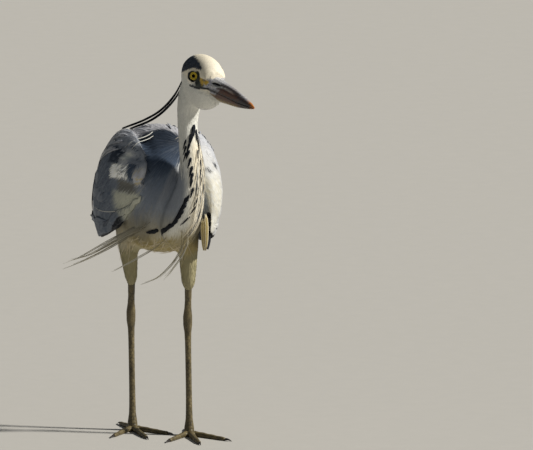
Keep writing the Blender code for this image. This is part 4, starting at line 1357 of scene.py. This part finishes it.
def streak_feathers(plumage, ground, draw):
    """The black streaks down the foreneck: two broken rows, joined in a cluster at their top."""
    ink = hex_of("ink") * 0.7
    for line, first, last, step, width in STREAK_ROWS:
        line = np.array(line, float)
        z = first
        while z > last:
            x = np.interp(-z, -line[:, 1], line[:, 0]) + draw.uniform(-1.2, 1.2)
            start = ground.from_front(x, z)
            length = draw.uniform(11, 15) * (1.25 if z < 325 else 1.0)
            lean = np.interp(z, [278, 290, 320, 335], [-1.6, -0.9, -0.75, -0.3])
            path, ups = ground.walk(start, [lean, 0, -1], length, 6, 0.9, 1.5)
            half = draw.uniform(0.85, 1.15) * width
            plumage.add(path, ups, lance_halves(6, half, 0.15), plain(ink, 1.0), 0.1, 0.3, 0.1)
            z -= step * draw.uniform(0.8, 1.2)


def foreneck_plumes(plumage, ground, draw):
    """Long cream plumes that hang down the foreneck's left side, with some dark edges among them."""
    for _ in range(110):
        z = draw.uniform(285, 398)
        x = draw.uniform(47 + 4 * ramp(320, 380, z), 66)
        start = ground.from_front(x, z)
        if start is None:
            continue
        way = [draw.uniform(-0.3, 0.12), 0, -1]
        path, ups = ground.walk(start, way, draw.uniform(22, 48), 8, 0.5, draw.uniform(1.0, 2.4), 0.1, 5.0)
        colour = mix(hex_of("cream"), hex_of("white"), draw.uniform(0, 0.7)) * draw.uniform(0.9, 1.05)
        if draw.uniform() < 0.1:
            colour = mix(hex_of("ink"), hex_of("slate"), 0.3)
        plumage.add(path, ups, lance_halves(8, draw.uniform(0.45, 0.9)), plain(colour, 0.95), 0.2, 0.25, 0.1)


def chin_feathers(plumage, draw):
    """Small white feathers of the chin that reach forward over the root of the lower mandible, on both sides."""
    horn_ground = Ground(joined_nodes(["bill_lower"], 0))
    for side in SIDES.values():
        for along in np.arange(36.0, 63.0, 0.8):
            highest = np.interp(along, [40, 62], [-1.5, -10.5])
            for up in np.arange(-18.0, highest, 0.8):
                place = (along + draw.uniform(-0.5, 0.5), 30 * side, up + draw.uniform(-0.4, 0.4))
                origin = from_head(*place)
                hit = horn_ground.tree.ray_cast(Vector(origin), Vector(-side * HEAD_AXES[1]), 0.06)
                if hit[0] is None or abs(np.array(hit[1]) @ HEAD_AXES[1]) < 0.45:
                    continue
                way = -HEAD_AXES[0] - 0.5 * HEAD_AXES[2]
                path, ups = horn_ground.walk(np.array(hit[0]), way, draw.uniform(4.0, 5.5), 5, 0.0, 0.7)
                colour = hex_of("white") * draw.uniform(0.82, 0.95)
                plumage.add(path, ups, lance_halves(5, 0.8, 0.2), plain(colour, 0.95), 0.1, 0.15, 0.05)


# Loose plumes: places x, y, z from root to tip in millimetres, half width, and whether a black sheet below paints its
# shadow.
LOOSE_PLUMES = [
    ([(12, -66, 400), (7, -72, 398), (-12, -79, 394), (-27, -74, 382)], 1.4, True),
    ([(10, -78, 397), (-8, -86, 392), (-21, -92, 381)], 1.2, True),
    ([(-38, -72, 297), (-42, -52, 294), (-47, -16, 292), (-49, 13, 292)], 0.5, False),
    ([(30, -148, 376), (31, -152, 370), (31, -160, 348)], 0.9, False),
]


def loose_plumes(plumage, ground):
    """The single plumes that lie apart: two from the shoulder over the mantle, one on the wing, one by the neck."""
    for line, half, dark in LOOSE_PLUMES:
        path = resampled(np.array(line, float) * MM, 12)
        found = [ground.tree.find_nearest(Vector(point)) for point in path]
        ups = np.array([np.array(way) for _, way, _, _ in found])
        path = np.array([np.array(place) for place, _, _, _ in found])
        for _ in range(6):  # it bridges hollows
            path[1:-1] = (path[:-2] + path[1:-1] + path[2:]) / 3
            ups[1:-1] = unit(ups[:-2] + ups[1:-1] + ups[2:])
        # Painted shadow: a wider black blade just under the white plume.
        if dark:
            below = lance_halves(12, half * 1.5, 0.1)
            plumage.add(path + 1.0 * MM * ups, ups, below, plain(hex_of("ink"), 1.0), 0.1, 0.25, 0.1)
        halves = lance_halves(12, half, 0.1)
        plumage.add(path + 1.7 * MM * ups, ups, halves, plain(hex_of("white"), 0.95), 0.15, 0.25, 0.1)


def belly_strands(plumage, ground, draw):
    """Fine bright golden strands that curl off the belly and the flanks' lower edge."""
    for _ in range(80):
        x = draw.uniform(-22, 62)
        z = draw.uniform(243, 268)
        start = ground.from_front(x, z)
        if start is None:
            continue
        lean = draw.uniform(-1.0, 0.4)
        path, ups = ground.walk(start, [lean, 0.3, -0.5], draw.uniform(14, 30), 6, 0.4, 2.5, 0.35, 8.0)
        colour = mix(hex_of("buff"), hex_of("cream"), draw.uniform(0.2, 0.9))
        plumage.add(path, ups, lance_halves(6, draw.uniform(0.3, 0.6), 0.2), plain(colour, 0.9), 0.2, 0.25, 0.1)


def crest(plumage):
    """The nape's two long black plumes, each a bundle of narrow vanes with a pale shaft line."""
    lines = [strand_line(name, 22) for name in ("crest_plume_upper", "crest_plume_lower")]
    for line in lines:
        line = line + 0.3 * (sum(lines) / 2 - line)
        ahead = unit(np.gradient(line, axis=0))
        beside = unit(np.cross(ahead, [0.0, 0.0, 1.0]))
        ups = np.cross(beside, ahead)
        for k, (off, lift) in enumerate(((0, 0), (0.7, -0.5), (-0.7, -0.5))):
            spread = np.linspace(0.4, 1.3, 22)[:, None]
            path = line + (beside * off + ups * lift) * spread * MM
            halves = np.interp(np.linspace(0, 1, 22), [0, 0.1, 0.6, 1], [2.2, 3.4, 2.2, 0.3])

            def colour(across, along):
                shaft = (np.abs(across) < 0.1) * band(along, 0.15, 0.85, 0.1) * (k == 0)
                return mix(np.tile(hex_of("ink") * 0.6, (len(across), 1)), hex_of("ash"), 0.55 * shaft)
            plumage.add(path, unit(ups + beside * (0.5 * off)), halves, colour, 0.3, 0.6, 0.3)


def breast_plumes(plumage, draw):
    """The long breast plumes: pale strands of a few loose narrow barbs, and finer single ones between them."""
    lines = {}
    for name in nodes_called("plume_breast"):
        line = strand_line(name, 18)
        lines[name[-1]] = line + np.exp(-np.arange(18) / 1.6)[:, None] * 8 * MM * unit(MIDDLE - line)  # rooted inside
    for line in lines.values():
        for k in range(4):
            breast_strand(plumage, line, 18 - int(draw.integers(0, 4)), 1.0, k, draw)
    for first, second in ("12", "23", "12", "23", "56"):
        for k in range(5):
            line = mix(lines[first], lines[second], draw.uniform(-0.1, 1.1))
            breast_strand(plumage, line, 18 - int(draw.integers(2, 10)), 0.6, k, draw)


def breast_strand(plumage, line, rows, stout, number, draw):
    """One barb of a breast plume beside its line, as dark as the coat at its root and pale at its tip."""
    ahead = unit(np.gradient(line, axis=0))
    beside = unit(np.cross(ahead, [0.0, 0.0, 1.0]))
    ups = np.cross(beside, ahead)
    turn = number * math.pi / 2 + 0.4
    off = (beside * math.cos(turn) + ups * math.sin(turn)) * np.linspace(0.0, 1.4, 18)[:, None] * MM
    bend = np.sin(np.linspace(0, 5, 18) + number)[:, None] * ups * 0.6 * MM
    # Painted shade: the root takes the coat's colour, a fifth darker.
    root = markings(line[2:3], np.zeros(1)) * 0.8
    pale = mix(hex_of("white"), hex_of("buff"), draw.uniform(0.1, 0.5)) * draw.uniform(0.8, 1.0)

    def colour(_, along):
        return mix(root + 0 * along[:, None], pale, ramp(0.1, 0.6, along))
    halves = stout * np.interp(np.linspace(0, 1, rows), [0, 0.25, 0.4, 0.7, 1], [0.1, 0.3, 0.7, 0.6, 0.1])
    begin = int(draw.integers(0, 4))
    path, ways = (line + off + bend)[begin:rows], (ups + beside * math.sin(turn))[begin:rows]
    halves = halves[begin:] * np.minimum(1, 0.2 + 0.4 * np.arange(rows - begin))
    plumage.add(path, ways, halves, colour, 0.25, 0.4, 0.2)


def plate_edges(name, run, spread, facing, rows):
    """The two long edges of a flat node's outer face: points at levels along one axis, seen against another."""
    tree = tree_of(joined_nodes([name], 0))
    low_box, high_box = (np.array(corner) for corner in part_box(name))
    pairs = []
    cast = int(np.argmax(np.abs(facing)))
    for level in np.linspace(low_box[run] + 0.6 * MM, high_box[run] - 0.6 * MM, rows):
        found = []
        for place_across in np.linspace(low_box[spread], high_box[spread], 70):
            origin = np.zeros(3)
            origin[run], origin[spread] = level, place_across
            origin[cast] = 0.5 * (low_box + high_box)[cast] + 0.3 * facing[cast]
            hit = tree.ray_cast(Vector(origin), Vector(-np.array(facing, float)))
            if hit[0] is not None:
                found.append(np.array(hit[0]))
        if len(found) > 1:
            pairs.append((found[0], found[-1]))
    return np.array(pairs).transpose(1, 0, 2)


def quills_in(plumage, name, draw, count, run, spread, facing, vane, fringe, rows):
    """Flight or tail quills side by side over a flat node's outer face."""
    low, high = plate_edges(name, run, spread, facing, rows)
    rows = len(low)
    wide = np.linalg.norm(high - low, axis=1)
    for k in range(count):
        share = (k + 0.5) / count
        path = low * (1 - share) + high * share
        ups = unit(np.cross(high - low, np.gradient(path, axis=0)))
        ups *= np.sign(ups @ np.array(facing, float))[:, None]
        path = path + ups * (0.2 + 0.35 * k) * MM
        end = rows - int(draw.integers(0, 2))
        ends = np.interp(np.arange(end), [0, 1, end - 2, end - 1], [0.6, 1, 0.85, 0.3])
        halves = np.maximum(wide[:end] / MM / count * 0.85, 0.6) * ends
        vanes = plain(hex_of(vane) * draw.uniform(0.9, 1.1), 0.8, hex_of(fringe))
        plumage.add(path[:end], ups[:end], halves, vanes, 0.08, 0.6)


# ---- settings in the sidebar


def colour_settings():
    """A property for each colour of the bird."""
    return {
        name: bpy.props.FloatVectorProperty(name=name.capitalize(), description=words, default=tuple(linear(text)),
                                            size=3, min=0, max=1, subtype="COLOR")
        for name, (text, words) in COLOURS.items()
    }


HeronColours = type("HeronColours", (bpy.types.PropertyGroup,), {
    "__doc__": "Colours of the bird's parts", "__annotations__": colour_settings()})


class HeronSizes(bpy.types.PropertyGroup):
    """Sizes of the skin and the coat."""

    voxel: bpy.props.FloatProperty(
        name="Skin detail", description="Size of the skin's faces", default=2.4 * MM, unit="LENGTH", precision=4)
    coat_scale: bpy.props.FloatProperty(
        name="Feather size", description="Factor on the length of every small feather", default=1.0)
    seed: bpy.props.IntProperty(name="Seed", description="Chooses where the small feathers grow", default=7)


# ---- pieces

grown = {}  # the skin's mesh, the node and bareness of each of its places, and its search tree, kept between operators


class HERON_OT_skin(bpy.types.Operator):
    """Makes one skin of all the flesh nodes, below the coat"""

    bl_idname = "heron.skin"
    bl_label = "Skin"

    def execute(self, context):
        mesh, part = skin_mesh(context.scene.heron_sizes)
        points = coordinates(mesh)
        ways = unit(relaxed(mesh, normals(mesh), 3))
        wing = relaxed(mesh, np.array([[float(p.startswith("wing"))] for p in part]), 2)[:, 0]
        lie = relaxed(mesh, unit(lie_of_coat(points, ways, part)), 25)
        lie = unit(lie - ways * np.sum(lie * ways, axis=1, keepdims=True))
        along, _, up = to_head(points).T
        bare, face = bare_face(points)
        on_head = ramp(-44, -36, along) * ramp(-36, -30, up)
        bare = bare * on_head
        ahead = ways @ HEAD_AXES[0] > np.where(up < -5, 0.3, 0.6)
        hem = np.maximum(in_bill(points), ahead & (along > 36) & (up < 18))
        on_face = np.array([p in ("head", "chin") for p in part])
        size = np.where(on_face, np.interp(along, [-35, -10, 15, 35], [1.5, 1.1, 0.8, 0.6]), 1.0)
        write_attribute(mesh, "up", ways)
        write_attribute(mesh, "lie", lie)
        write_attribute(mesh, "size", size)
        write_attribute(mesh, "wing", wing)
        paint(mesh, mix(markings(points, wing), face, bare) * 0.9)  # painted shade: a little darker, as it lies deep in the coat
        skin = shown("skin", mesh, bare_skin("bare bird skin"), "pale_feather", FLESH)
        grown.update(mesh=unwrapped(skin), part=part, bare=np.maximum(bare, hem * on_head))
        return {"FINISHED"}


class HERON_OT_coat(bpy.types.Operator):
    """Grows the small feathers over the skin, one piece for each region"""

    bl_idname = "heron.coat"
    bl_label = "Coat"

    def execute(self, context):
        tree = vane_tree()
        sizes = context.scene.heron_sizes
        skin, part, bare = grown["mesh"], grown["part"], grown["bare"]
        inner = {f"wing_{side}": -SIDES[side] * read_attribute(skin, "up")[:, 0] for side in SIDES}
        finish = keratin_vane("small body feathers", 0.75, 22)
        for number, (name, (kinds, *measures)) in enumerate(COATS.items()):
            mask = np.array([float(p.startswith(kinds)) for p in part])
            mask = np.where(relaxed(skin, mask[:, None], 2)[:, 0] > 0.3, 1.0, 0.0) * (bare < 0.5)
            if name.startswith("coat_wing"):
                mask *= inner[name[5:]] < 0.25
            mask *= coordinates(skin)[:, 1] < COAT_END
            mesh = coat_mesh(skin, mask, tree, finish, sizes.seed + number, sizes.coat_scale, measures)
            roots = read_attribute(mesh, "root")
            spots = roots + 0.35 * (coordinates(mesh) - roots)  # a vane is coloured mostly as its root's place is
            paint(mesh, vary(markings(spots, read_attribute(mesh, "wing")), mesh))
            drop_attributes(mesh, ["across", "along", "rise", "slope", "reach", "chance", "grow", "up", "lie", "size",
                                   "wing", "root", "spot"])
            shown(name, mesh, finish, "pale_feather")
        return {"FINISHED"}


def ring_of(centre, axis, first, second, radius, height, count):
    """A ring of places round an axis, a height along it."""
    turns = np.linspace(0, 2 * math.pi, count, endpoint=False)
    circle = np.outer(np.cos(turns), first) + np.outer(np.sin(turns), second)
    return centre + circle * radius * MM + axis * height * MM


def lathe(profile, centre, axis, count):
    """A closed turned mesh from a profile of radius and height; a radius of 0 closes it to a point."""
    first = unit(np.cross(axis, [0.0, 0.0, 1.0]))
    second = np.cross(axis, first)
    made = bmesh.new()
    rows = []
    for radius, height in profile:
        if radius < 1e-6:
            rows.append([made.verts.new(centre + axis * height * MM)])
        else:
            rows.append([made.verts.new(p) for p in ring_of(centre, axis, first, second, radius, height, count)])
    for low, high in zip(rows[:-1], rows[1:]):
        for k in range(count):
            after = (k + 1) % count
            face = [low[k % len(low)], low[after % len(low)], high[after % len(high)], high[k % len(high)]]
            made.faces.new(dict.fromkeys(face))
    bmesh.ops.recalc_face_normals(made, faces=made.faces)
    mesh = bpy.data.meshes.new("turned")
    made.to_mesh(mesh)
    made.free()
    return mesh


PUPIL_RADIUS = 2.3  # in millimetres, as the two below
CORNEA_RADIUS = 5.8
CORNEA_WALL = 0.35
PUPIL_BLACK = np.array([0.0006, 0.0006, 0.0008])  # linear


class HERON_OT_eyes(bpy.types.Operator):
    """Makes each eye: a ball with a sunken iris and a pupil, under a clear cornea"""

    bl_idname = "heron.eyes"
    bl_label = "Eyes"

    def execute(self, context):
        wet, clear = wet_eye("wet eyeball"), clear_cornea("clear cornea")
        for side in SIDES:
            centre, axis = eye_frame(side)
            rim = math.sqrt(EYE_RADIUS**2 - (IRIS_RADIUS + 0.4) ** 2)
            profile = [(0, -EYE_RADIUS)]
            profile += [(EYE_RADIUS * math.sin(t), -EYE_RADIUS * math.cos(t)) for t in np.linspace(0.25, 2.33, 12)]
            profile += [(IRIS_RADIUS + 0.25, rim - 0.15), (IRIS_RADIUS, rim - 0.35)]
            profile += [(r, rim - 0.35 - 0.1 * (IRIS_RADIUS - r)) for r in np.linspace(5.2, PUPIL_RADIUS, 10)]
            profile += [(PUPIL_RADIUS - 0.05, rim - 1.1), (1.2, rim - 1.3), (0, rim - 1.35)]
            mesh = lathe(profile, centre, axis, 64)
            height, reach, angle = round_eye(coordinates(mesh), side)
            fibre = 0.5 + 0.5 * np.sin(angle * 37 + 3 * np.sin(angle * 5))
            iris = hex_of("iris") * (0.75 + 0.35 * fibre)[:, None]
            iris = mix(iris, hex_of("iris") * [1.1, 0.75, 0.3], ramp(3.4, 2.4, reach) * 0.35)
            pupil = ramp(PUPIL_RADIUS + 0.1, PUPIL_RADIUS - 0.02, reach)
            dark = np.maximum.reduce([pupil, ramp(4.9, 5.5, reach), ramp(3.0, 2.0, height)])
            paint(mesh, mix(iris, PUPIL_BLACK, dark))
            shown(f"eyeball_{side}", mesh, wet, "iris", [f"eye_{side}"])
            turns = np.linspace(0.12, 1.5, 12)
            dome = [(CORNEA_RADIUS * math.sin(t), rim + 0.05 + 2.85 * math.cos(t)) for t in turns]
            outer = [(0, rim + 2.9), *dome]
            inner = [(max(r - CORNEA_WALL, 0) if r else 0, h - CORNEA_WALL) for r, h in outer[::-1]]
            shown(f"cornea_{side}", lathe([*outer, *inner], centre, axis, 64), clear, "iris")
        return {"FINISHED"}


def bill_colours(points):
    """Grey at the root and along the ridge, brown mottled sides, an orange tip and dark cutting edges."""
    along, _, up = to_head(points).T
    patch = waves(points, 7 * MM, 21)
    flecks = waves(points, 2.6 * MM, 22)
    lilac, brown, tip, ink, white = (hex_of(n) for n in ("lilac", "horn", "tip", "ink", "white"))
    height = up / np.interp(along, [39, 75, 115, 140], [20, 16, 9, 1])
    low = ramp(0.5, -2.5, up)
    root = mix(root_skin(points), mix(brown, hex_of("buff"), 0.35), low)
    colour = mix(root, brown, ramp(44, 60, along + 5 * patch - 14 * height))
    # Painted highlight: the ridge is pale grey where the light catches the culmen.
    ridge = ramp(0.62, 0.9, height) * ramp(139, 126, along)
    colour = mix(colour, mix(lilac, white, 0.35), ridge * (0.65 + 0.3 * patch))
    colour = mix(colour, mix(brown, hex_of("buff"), 0.55), ramp(-3, -8, up) * ramp(108, 96, along) * 0.9)
    # Painted shade: the groove from the nostril towards the tip is dark.
    groove = hump(up, groove_line(along), 1.3) * band(along, 44, 104, 5)
    colour = mix(colour, mix(brown, ink, 0.5), 0.85 * groove)
    # Painted highlight: a pale line along the side below the ridge.
    pale = np.interp(along, [46, 50, 60, 70, 77, 87, 97, 110], [8, 9.5, 11.0, 11.2, 10.6, 9.1, 7.3, 5.4])
    painted_highlight = hump(up + 0.6 * patch, pale, 1.0) * band(along, 46, 92, 5)
    painted_highlight_tone = mix(white, tip, 0.5 * ramp(70, 92, along))
    colour = mix(colour, painted_highlight_tone, painted_highlight * np.clip(0.75 + 0.5 * flecks, 0, 1))
    gape = hump(up, np.interp(along, [38, 46, 60], [4.4, 3.6, 2.6]), 2.2) * ramp(64, 50, along)
    colour = mix(colour, ink, 0.85 * gape)
    dark = np.clip(0.2 + 0.6 * flecks + 0.45 * patch, 0, 0.85) * ramp(44, 52, along)
    dark *= (1 - 0.6 * ridge) * (1 - 0.6 * low)
    colour = mix(colour, ink * 1.3, dark)
    # Painted shade: darker low on the sides towards the tip.
    shade = ramp(92, 112, along + 6 * patch) * ramp(0.75, 0.3, height) * ramp(134, 128, along)
    colour = mix(colour, ink * 1.6, shade * 0.75)
    colour = mix(colour, tip, ramp(126, 136, along + 3 * patch + 0.8 * up))
    chin = ramp(1.0, -1.0, up + 1.5 + 0.41 * np.maximum(along - 40, 0)) * ramp(66, 60, along)
    colour = mix(colour, hex_of("white") * 0.85, chin)
    edge = hump(up, mouth_line(along), 0.6)
    colour = mix(colour, ink * 0.5, edge * 0.9 * ramp(138, 130, along))
    off, half = nostril(along, up)
    # The nostril's white rim is partly its pale edge, partly a painted highlight; the slit is near black, painted
    # shade.
    rim = hump(off - half, 0.8, 0.7) * (half > 0)
    colour = mix(colour, hex_of("white"), 0.75 * rim)
    return mix(colour, ink * 0.3, ramp(0.5, -0.1, off - half) * (half > 0))


def groove_line(along):
    """Height of the groove that runs from the nostril towards the tip, in the head's millimetres."""
    return np.interp(along, [51.5, 62, 73, 84, 94, 105], [12.6, 13.4, 13.3, 12.1, 10.5, 8.6])


def mouth_line(along):
    """Height of the line between the mandibles, in the head's millimetres."""
    return 3.2 * np.sin(math.pi * np.clip(along / 105, 0, 1)) ** 2


def nostril(along, up):
    """How far places lie above or below the nostril's middle line, and its half width there, in millimetres."""
    run = along - 51.5
    return np.abs(up - 12.6 + 0.02 * run), 1.5 * np.sqrt(np.clip(1 - (run / 8.5) ** 2, 0, 1))


def sculpt_bill(points):
    """A nostril slit in a groove on each side, which runs on towards the tip, and a ridge along the culmen."""
    along, left, up = to_head(points).T
    sign = np.sign(left)
    off, half = nostril(along, up)
    groove = hump(up, groove_line(along), 1.4) * band(along, 45, 105, 7)
    slit = ramp(0.35, -0.35, off - half) * (half > 0)
    inwards = 0.8 * groove + 2.2 * slit
    return points - np.outer(inwards * sign * MM, HEAD_AXES[1])


BILL_VOXEL = 0.6 * MM


class HERON_OT_bill(bpy.types.Operator):
    """Refines both mandibles and cuts the nostril grooves"""

    bl_idname = "heron.bill"
    bl_label = "Bill"

    def execute(self, context):
        finish = horn("bill horn")
        for name in ("bill_upper", "bill_lower"):
            mesh = voxel_skin(joined_nodes([name], 0.15 * MM), BILL_VOXEL)
            points = relaxed(mesh, coordinates(mesh), 5)
            if name == "bill_upper":
                points = sculpt_bill(points)
            set_coordinates(mesh, points)
            paint(mesh, bill_colours(points))
            shown(name + "_horn", mesh, finish, "bill_horn", [name])
        return {"FINISHED"}


def cells(first, second, size, stretch, seed):
    """Scale relief on a plane: 0 in the grooves between jittered hexagonal cells and 1 inside them."""
    u, v = first / size, second / (size * stretch)
    draw = np.random.default_rng(seed)
    table = draw.uniform(-0.18, 0.18, (64, 64, 2))
    row = np.floor(v)
    nearest, second_nearest = np.full(len(u), 9.0), np.full(len(u), 9.0)
    for dv in (-1, 0, 1):
        r = (row + dv).astype(int)
        shift = 0.5 * (r % 2)
        column = np.floor(u - shift)
        for du in (-1, 0, 1):
            c = (column + du).astype(int)
            jitter = table[r % 64, c % 64]
            away = np.hypot(u - shift - (c + 0.5) - jitter[:, 0], v - (r + 0.5) - jitter[:, 1])
            closer = away < nearest
            second_nearest = np.where(closer, nearest, np.minimum(second_nearest, away))
            nearest = np.where(closer, away, nearest)
    return ramp(0.0, 0.28, second_nearest - nearest)


LEG_VOXEL = 0.8 * MM
LEG_ROOT = 30 * MM  # how far a bare leg runs on inside its thigh
SCALE_DEPTH = 0.35 * MM
TOE_PLATE = 3.1  # length of one plate along a toe, in millimetres


def leg_relief(points, side):
    """Height of the scales on one leg: plates down its front and along the top of its toes, small ones elsewhere."""
    x, y, z = points.T / MM
    shin = places([f"tarsus_{side}", f"shank_{side}"]) / MM
    levels = np.arange(6, 200, 6.0)
    line = np.array([shin[np.abs(shin[:, 2] - level) < 16].mean(0) for level in levels])
    away = np.stack([x, y], 1) - between(z, levels, line[:, :2])
    angle = np.arctan2(away[:, 0], -away[:, 1])
    small = cells(angle * 5.5, z, 2.3, 1.0, 4)
    front = cells(angle * 5.5 + 50, z, 9.0, 0.5, 5)
    joint = hump(z, 150, 12)
    on_front = ramp(0.95, 0.75, np.abs(angle)) * (1 - joint)
    relief = small * (1 - on_front) + front * on_front
    for toe in TOES:
        spots = places([f"toe_{side}_{toe}"]) / MM
        centre = spots.mean(0)
        flat = (spots - centre)[:, :2]
        way = np.linalg.svd(flat, full_matrices=False)[2][0]
        off = np.stack([x, y], 1) - centre[:2]
        run = off @ way
        across = off @ np.array([-way[1], way[0]])
        half = np.abs((flat @ way)).max()
        near = (np.abs(run) < half + 1) & (np.abs(across) < 7) & (z < 9)
        turn = np.arctan2(across, z - 2.5)
        in_plate = np.mod(run, TOE_PLATE)
        plates = ramp(0.0, 0.18, np.minimum(in_plate, TOE_PLATE - in_plate) / (TOE_PLATE / 2))
        sides = cells(turn * 4.0, run, 1.7, 1.0, 6)
        on_top = ramp(1.0, 0.8, np.abs(turn))
        relief = np.where(near & (z < 8), plates * on_top + sides * (1 - on_top), relief)
    return relief


class HERON_OT_legs(bpy.types.Operator):
    """Makes each leg's scaled skin, from the bare shank down to the toes"""

    bl_idname = "heron.legs"
    bl_label = "Legs and feet"

    def execute(self, context):
        finish = scaled_skin("scaled leg skin")
        for side in SIDES:
            names = [f"shank_{side}", f"tarsus_{side}", *(f"toe_{side}_{toe}" for toe in TOES)]
            mesh = voxel_skin(joined_nodes(names, SCALE_DEPTH), LEG_VOXEL)
            points = relaxed(mesh, coordinates(mesh), 5)
            set_coordinates(mesh, points)
            ways = unit(relaxed(mesh, normals(mesh), 2))
            relief = leg_relief(points, side)
            points = points + ways * ((relief - 1) * SCALE_DEPTH)[:, None]
            top = points[:, 2].max()
            points[:, 2] += LEG_ROOT * ramp(top - 9 * MM, top - 1 * MM, points[:, 2])
            points[:, 2] = np.maximum(points[:, 2], 0)
            set_coordinates(mesh, points)
            leg = hex_of("leg") * (0.85 + 0.3 * np.clip(waves(points, 12 * MM, 31), -1, 1))[:, None]
            # The paint is darker in the grooves between the scales.
            paint(mesh, mix(leg * 0.45, leg, relief))
            shown(f"leg_{side}", mesh, finish, "leg_scale", names)
        claws = nodes_called("claw_")

        def add(piece):
            level = piece.modifiers.new("Round", "SUBSURF")
            level.levels = level.render_levels = 2

        mesh = evaluated(joined_nodes(claws, 0), add)
        paint(mesh, hex_of("claw") * (1 + 0.4 * waves(coordinates(mesh), 3 * MM, 41))[:, None])
        shown("claws", mesh, horn("claw horn"), "claw_horn", claws)
        return {"FINISHED"}


class HERON_OT_wings(bpy.types.Operator):
    """Lays the coverts, secondaries, tertials and scapulars over each folded wing"""

    bl_idname = "heron.wings"
    bl_label = "Wing feathers"

    def execute(self, context):
        ground = Ground(grown["mesh"])
        grown["ground"] = ground
        finish = keratin_vane("wing vanes", 0.65, 90)
        for name, side in SIDES.items():
            draw = np.random.default_rng(100 + (name == "left"))
            plumage, edges = Plumage(), wing_edges(name)
            lower_edge(plumage, Ground(joined_nodes([f"wing_{name}"], 0)), side, edges, draw)
            for lay in (wing_feathers, tertials, scapulars):
                lay(plumage, ground, side, edges, draw)
            shown(f"wing_vanes_{name}", plumage.mesh(ground), finish, "grey_feather")
        return {"FINISHED"}


# Quills: piece, the node it stands for, slot, and its fans: how many, the axes they run and spread along, the way they
# face, colours of vane and fringe, and rows.
QUILLS = (
    ("primaries_vanes_left", "primaries_left", "black_feather", [(4, 1, 2, (1, 0, 0), "ink", "ink", 24)]),
    ("primaries_vanes_right", "primaries_right", "black_feather", [(4, 1, 2, (-1, 0, 0), "ink", "ink", 24)]),
    ("tail_vanes", "tail", "grey_feather", [(6, 1, 0, (0, 0, 1), "grey", "ash", 16),
                                            (6, 1, 0, (0, 0, -1), "ash", "grey", 16)]),
    ("thumb_vanes", "thumb_left", "pale_feather", [(3, 2, 0, (0, -1, 0), "buff", "cream", 9),
                                                   (3, 2, 1, (1, 0, 0), "cream", "white", 9)]),
)


class HERON_OT_quills(bpy.types.Operator):
    """Makes the black primaries, the tail and the thumb's vanes"""

    bl_idname = "heron.quills"
    bl_label = "Quills"

    def execute(self, context):
        ground = grown["ground"]
        finish = keratin_vane("flight quills", 0.6, 160)
        draw = np.random.default_rng(5)
        for name, node, slot, fans in QUILLS:
            plumage = Plumage()
            for fan in fans:
                quills_in(plumage, node, draw, *fan)
            shown(name, plumage.mesh(ground), finish, slot, [node])
        return {"FINISHED"}


class HERON_OT_plumes(bpy.types.Operator):
    """Makes the crest, the breast plumes, the streaks of the foreneck and the belly's loose strands"""

    bl_idname = "heron.plumes"
    bl_label = "Plumes and streaks"

    def execute(self, context):
        ground = grown["ground"]
        draw = np.random.default_rng(9)
        finish = keratin_vane("long plumes", 0.55, 60)
        plumage = Plumage()
        crest(plumage)
        shown("crest_vanes", plumage.mesh(ground), finish, "black_feather", nodes_called("crest_plume"))
        plumage = Plumage()
        breast_plumes(plumage, draw)
        shown("breast_plume_vanes", plumage.mesh(ground), finish, "white_plume", nodes_called("plume_breast"))
        plumage = Plumage()
        foreneck_plumes(plumage, ground, draw)
        chin_feathers(plumage, draw)
        loose_plumes(plumage, ground)
        belly_strands(plumage, ground, draw)
        shown("foreneck_plumes", plumage.mesh(ground), finish, "white_plume")
        plumage = Plumage()
        streak_feathers(plumage, ground, draw)
        shown("streaks", plumage.mesh(ground), finish, "black_feather")
        return {"FINISHED"}


class HERON_OT_stage(bpy.types.Operator):
    """Adds the pale floor, a soft sun, the sky's light and the camera"""

    bl_idname = "heron.stage"
    bl_label = "Stage"

    def execute(self, context):
        add_floor()
        add_sun("key", (0.72, -0.28, 0.64), 4.6, 5, (1.0, 0.97, 0.91))
        world = bpy.data.worlds.new("Room")
        world.use_nodes = True
        sky = world.node_tree.nodes["Background"].inputs
        sky["Color"].default_value = (0.74, 0.82, 0.90, 1)
        sky["Strength"].default_value = 0.14
        context.scene.world = world
        context.scene.view_settings.view_transform = "Standard"
        add_camera()
        return {"FINISHED"}


OPERATORS = (HERON_OT_skin, HERON_OT_coat, HERON_OT_wings, HERON_OT_quills, HERON_OT_plumes, HERON_OT_eyes,
             HERON_OT_bill, HERON_OT_legs, HERON_OT_stage)


class HERON_PT_pieces(bpy.types.Panel):
    """Lists the bird's pieces and colours"""

    bl_label = "Grey heron"
    bl_space_type = "VIEW_3D"
    bl_region_type = "UI"
    bl_category = "Heron"

    def draw(self, context):
        for operator in OPERATORS:
            self.layout.operator(operator.bl_idname)
        for name in HeronSizes.__annotations__:
            self.layout.prop(context.scene.heron_sizes, name)
        for name in COLOURS:
            self.layout.prop(context.scene.heron_colours, name)


CLASSES = (HeronColours, HeronSizes, *OPERATORS, HERON_PT_pieces)


def register():
    for made in CLASSES:
        bpy.utils.register_class(made)
    bpy.types.Scene.heron_colours = bpy.props.PointerProperty(type=HeronColours)
    bpy.types.Scene.heron_sizes = bpy.props.PointerProperty(type=HeronSizes)


def unregister():
    del bpy.types.Scene.heron_colours
    del bpy.types.Scene.heron_sizes
    for made in reversed(CLASSES):
        bpy.utils.unregister_class(made)


def main():
    register()
    for operator in OPERATORS:
        group, name = operator.bl_idname.split(".")
        getattr(getattr(bpy.ops, group), name)()


if __name__ == "__main__":
    main()
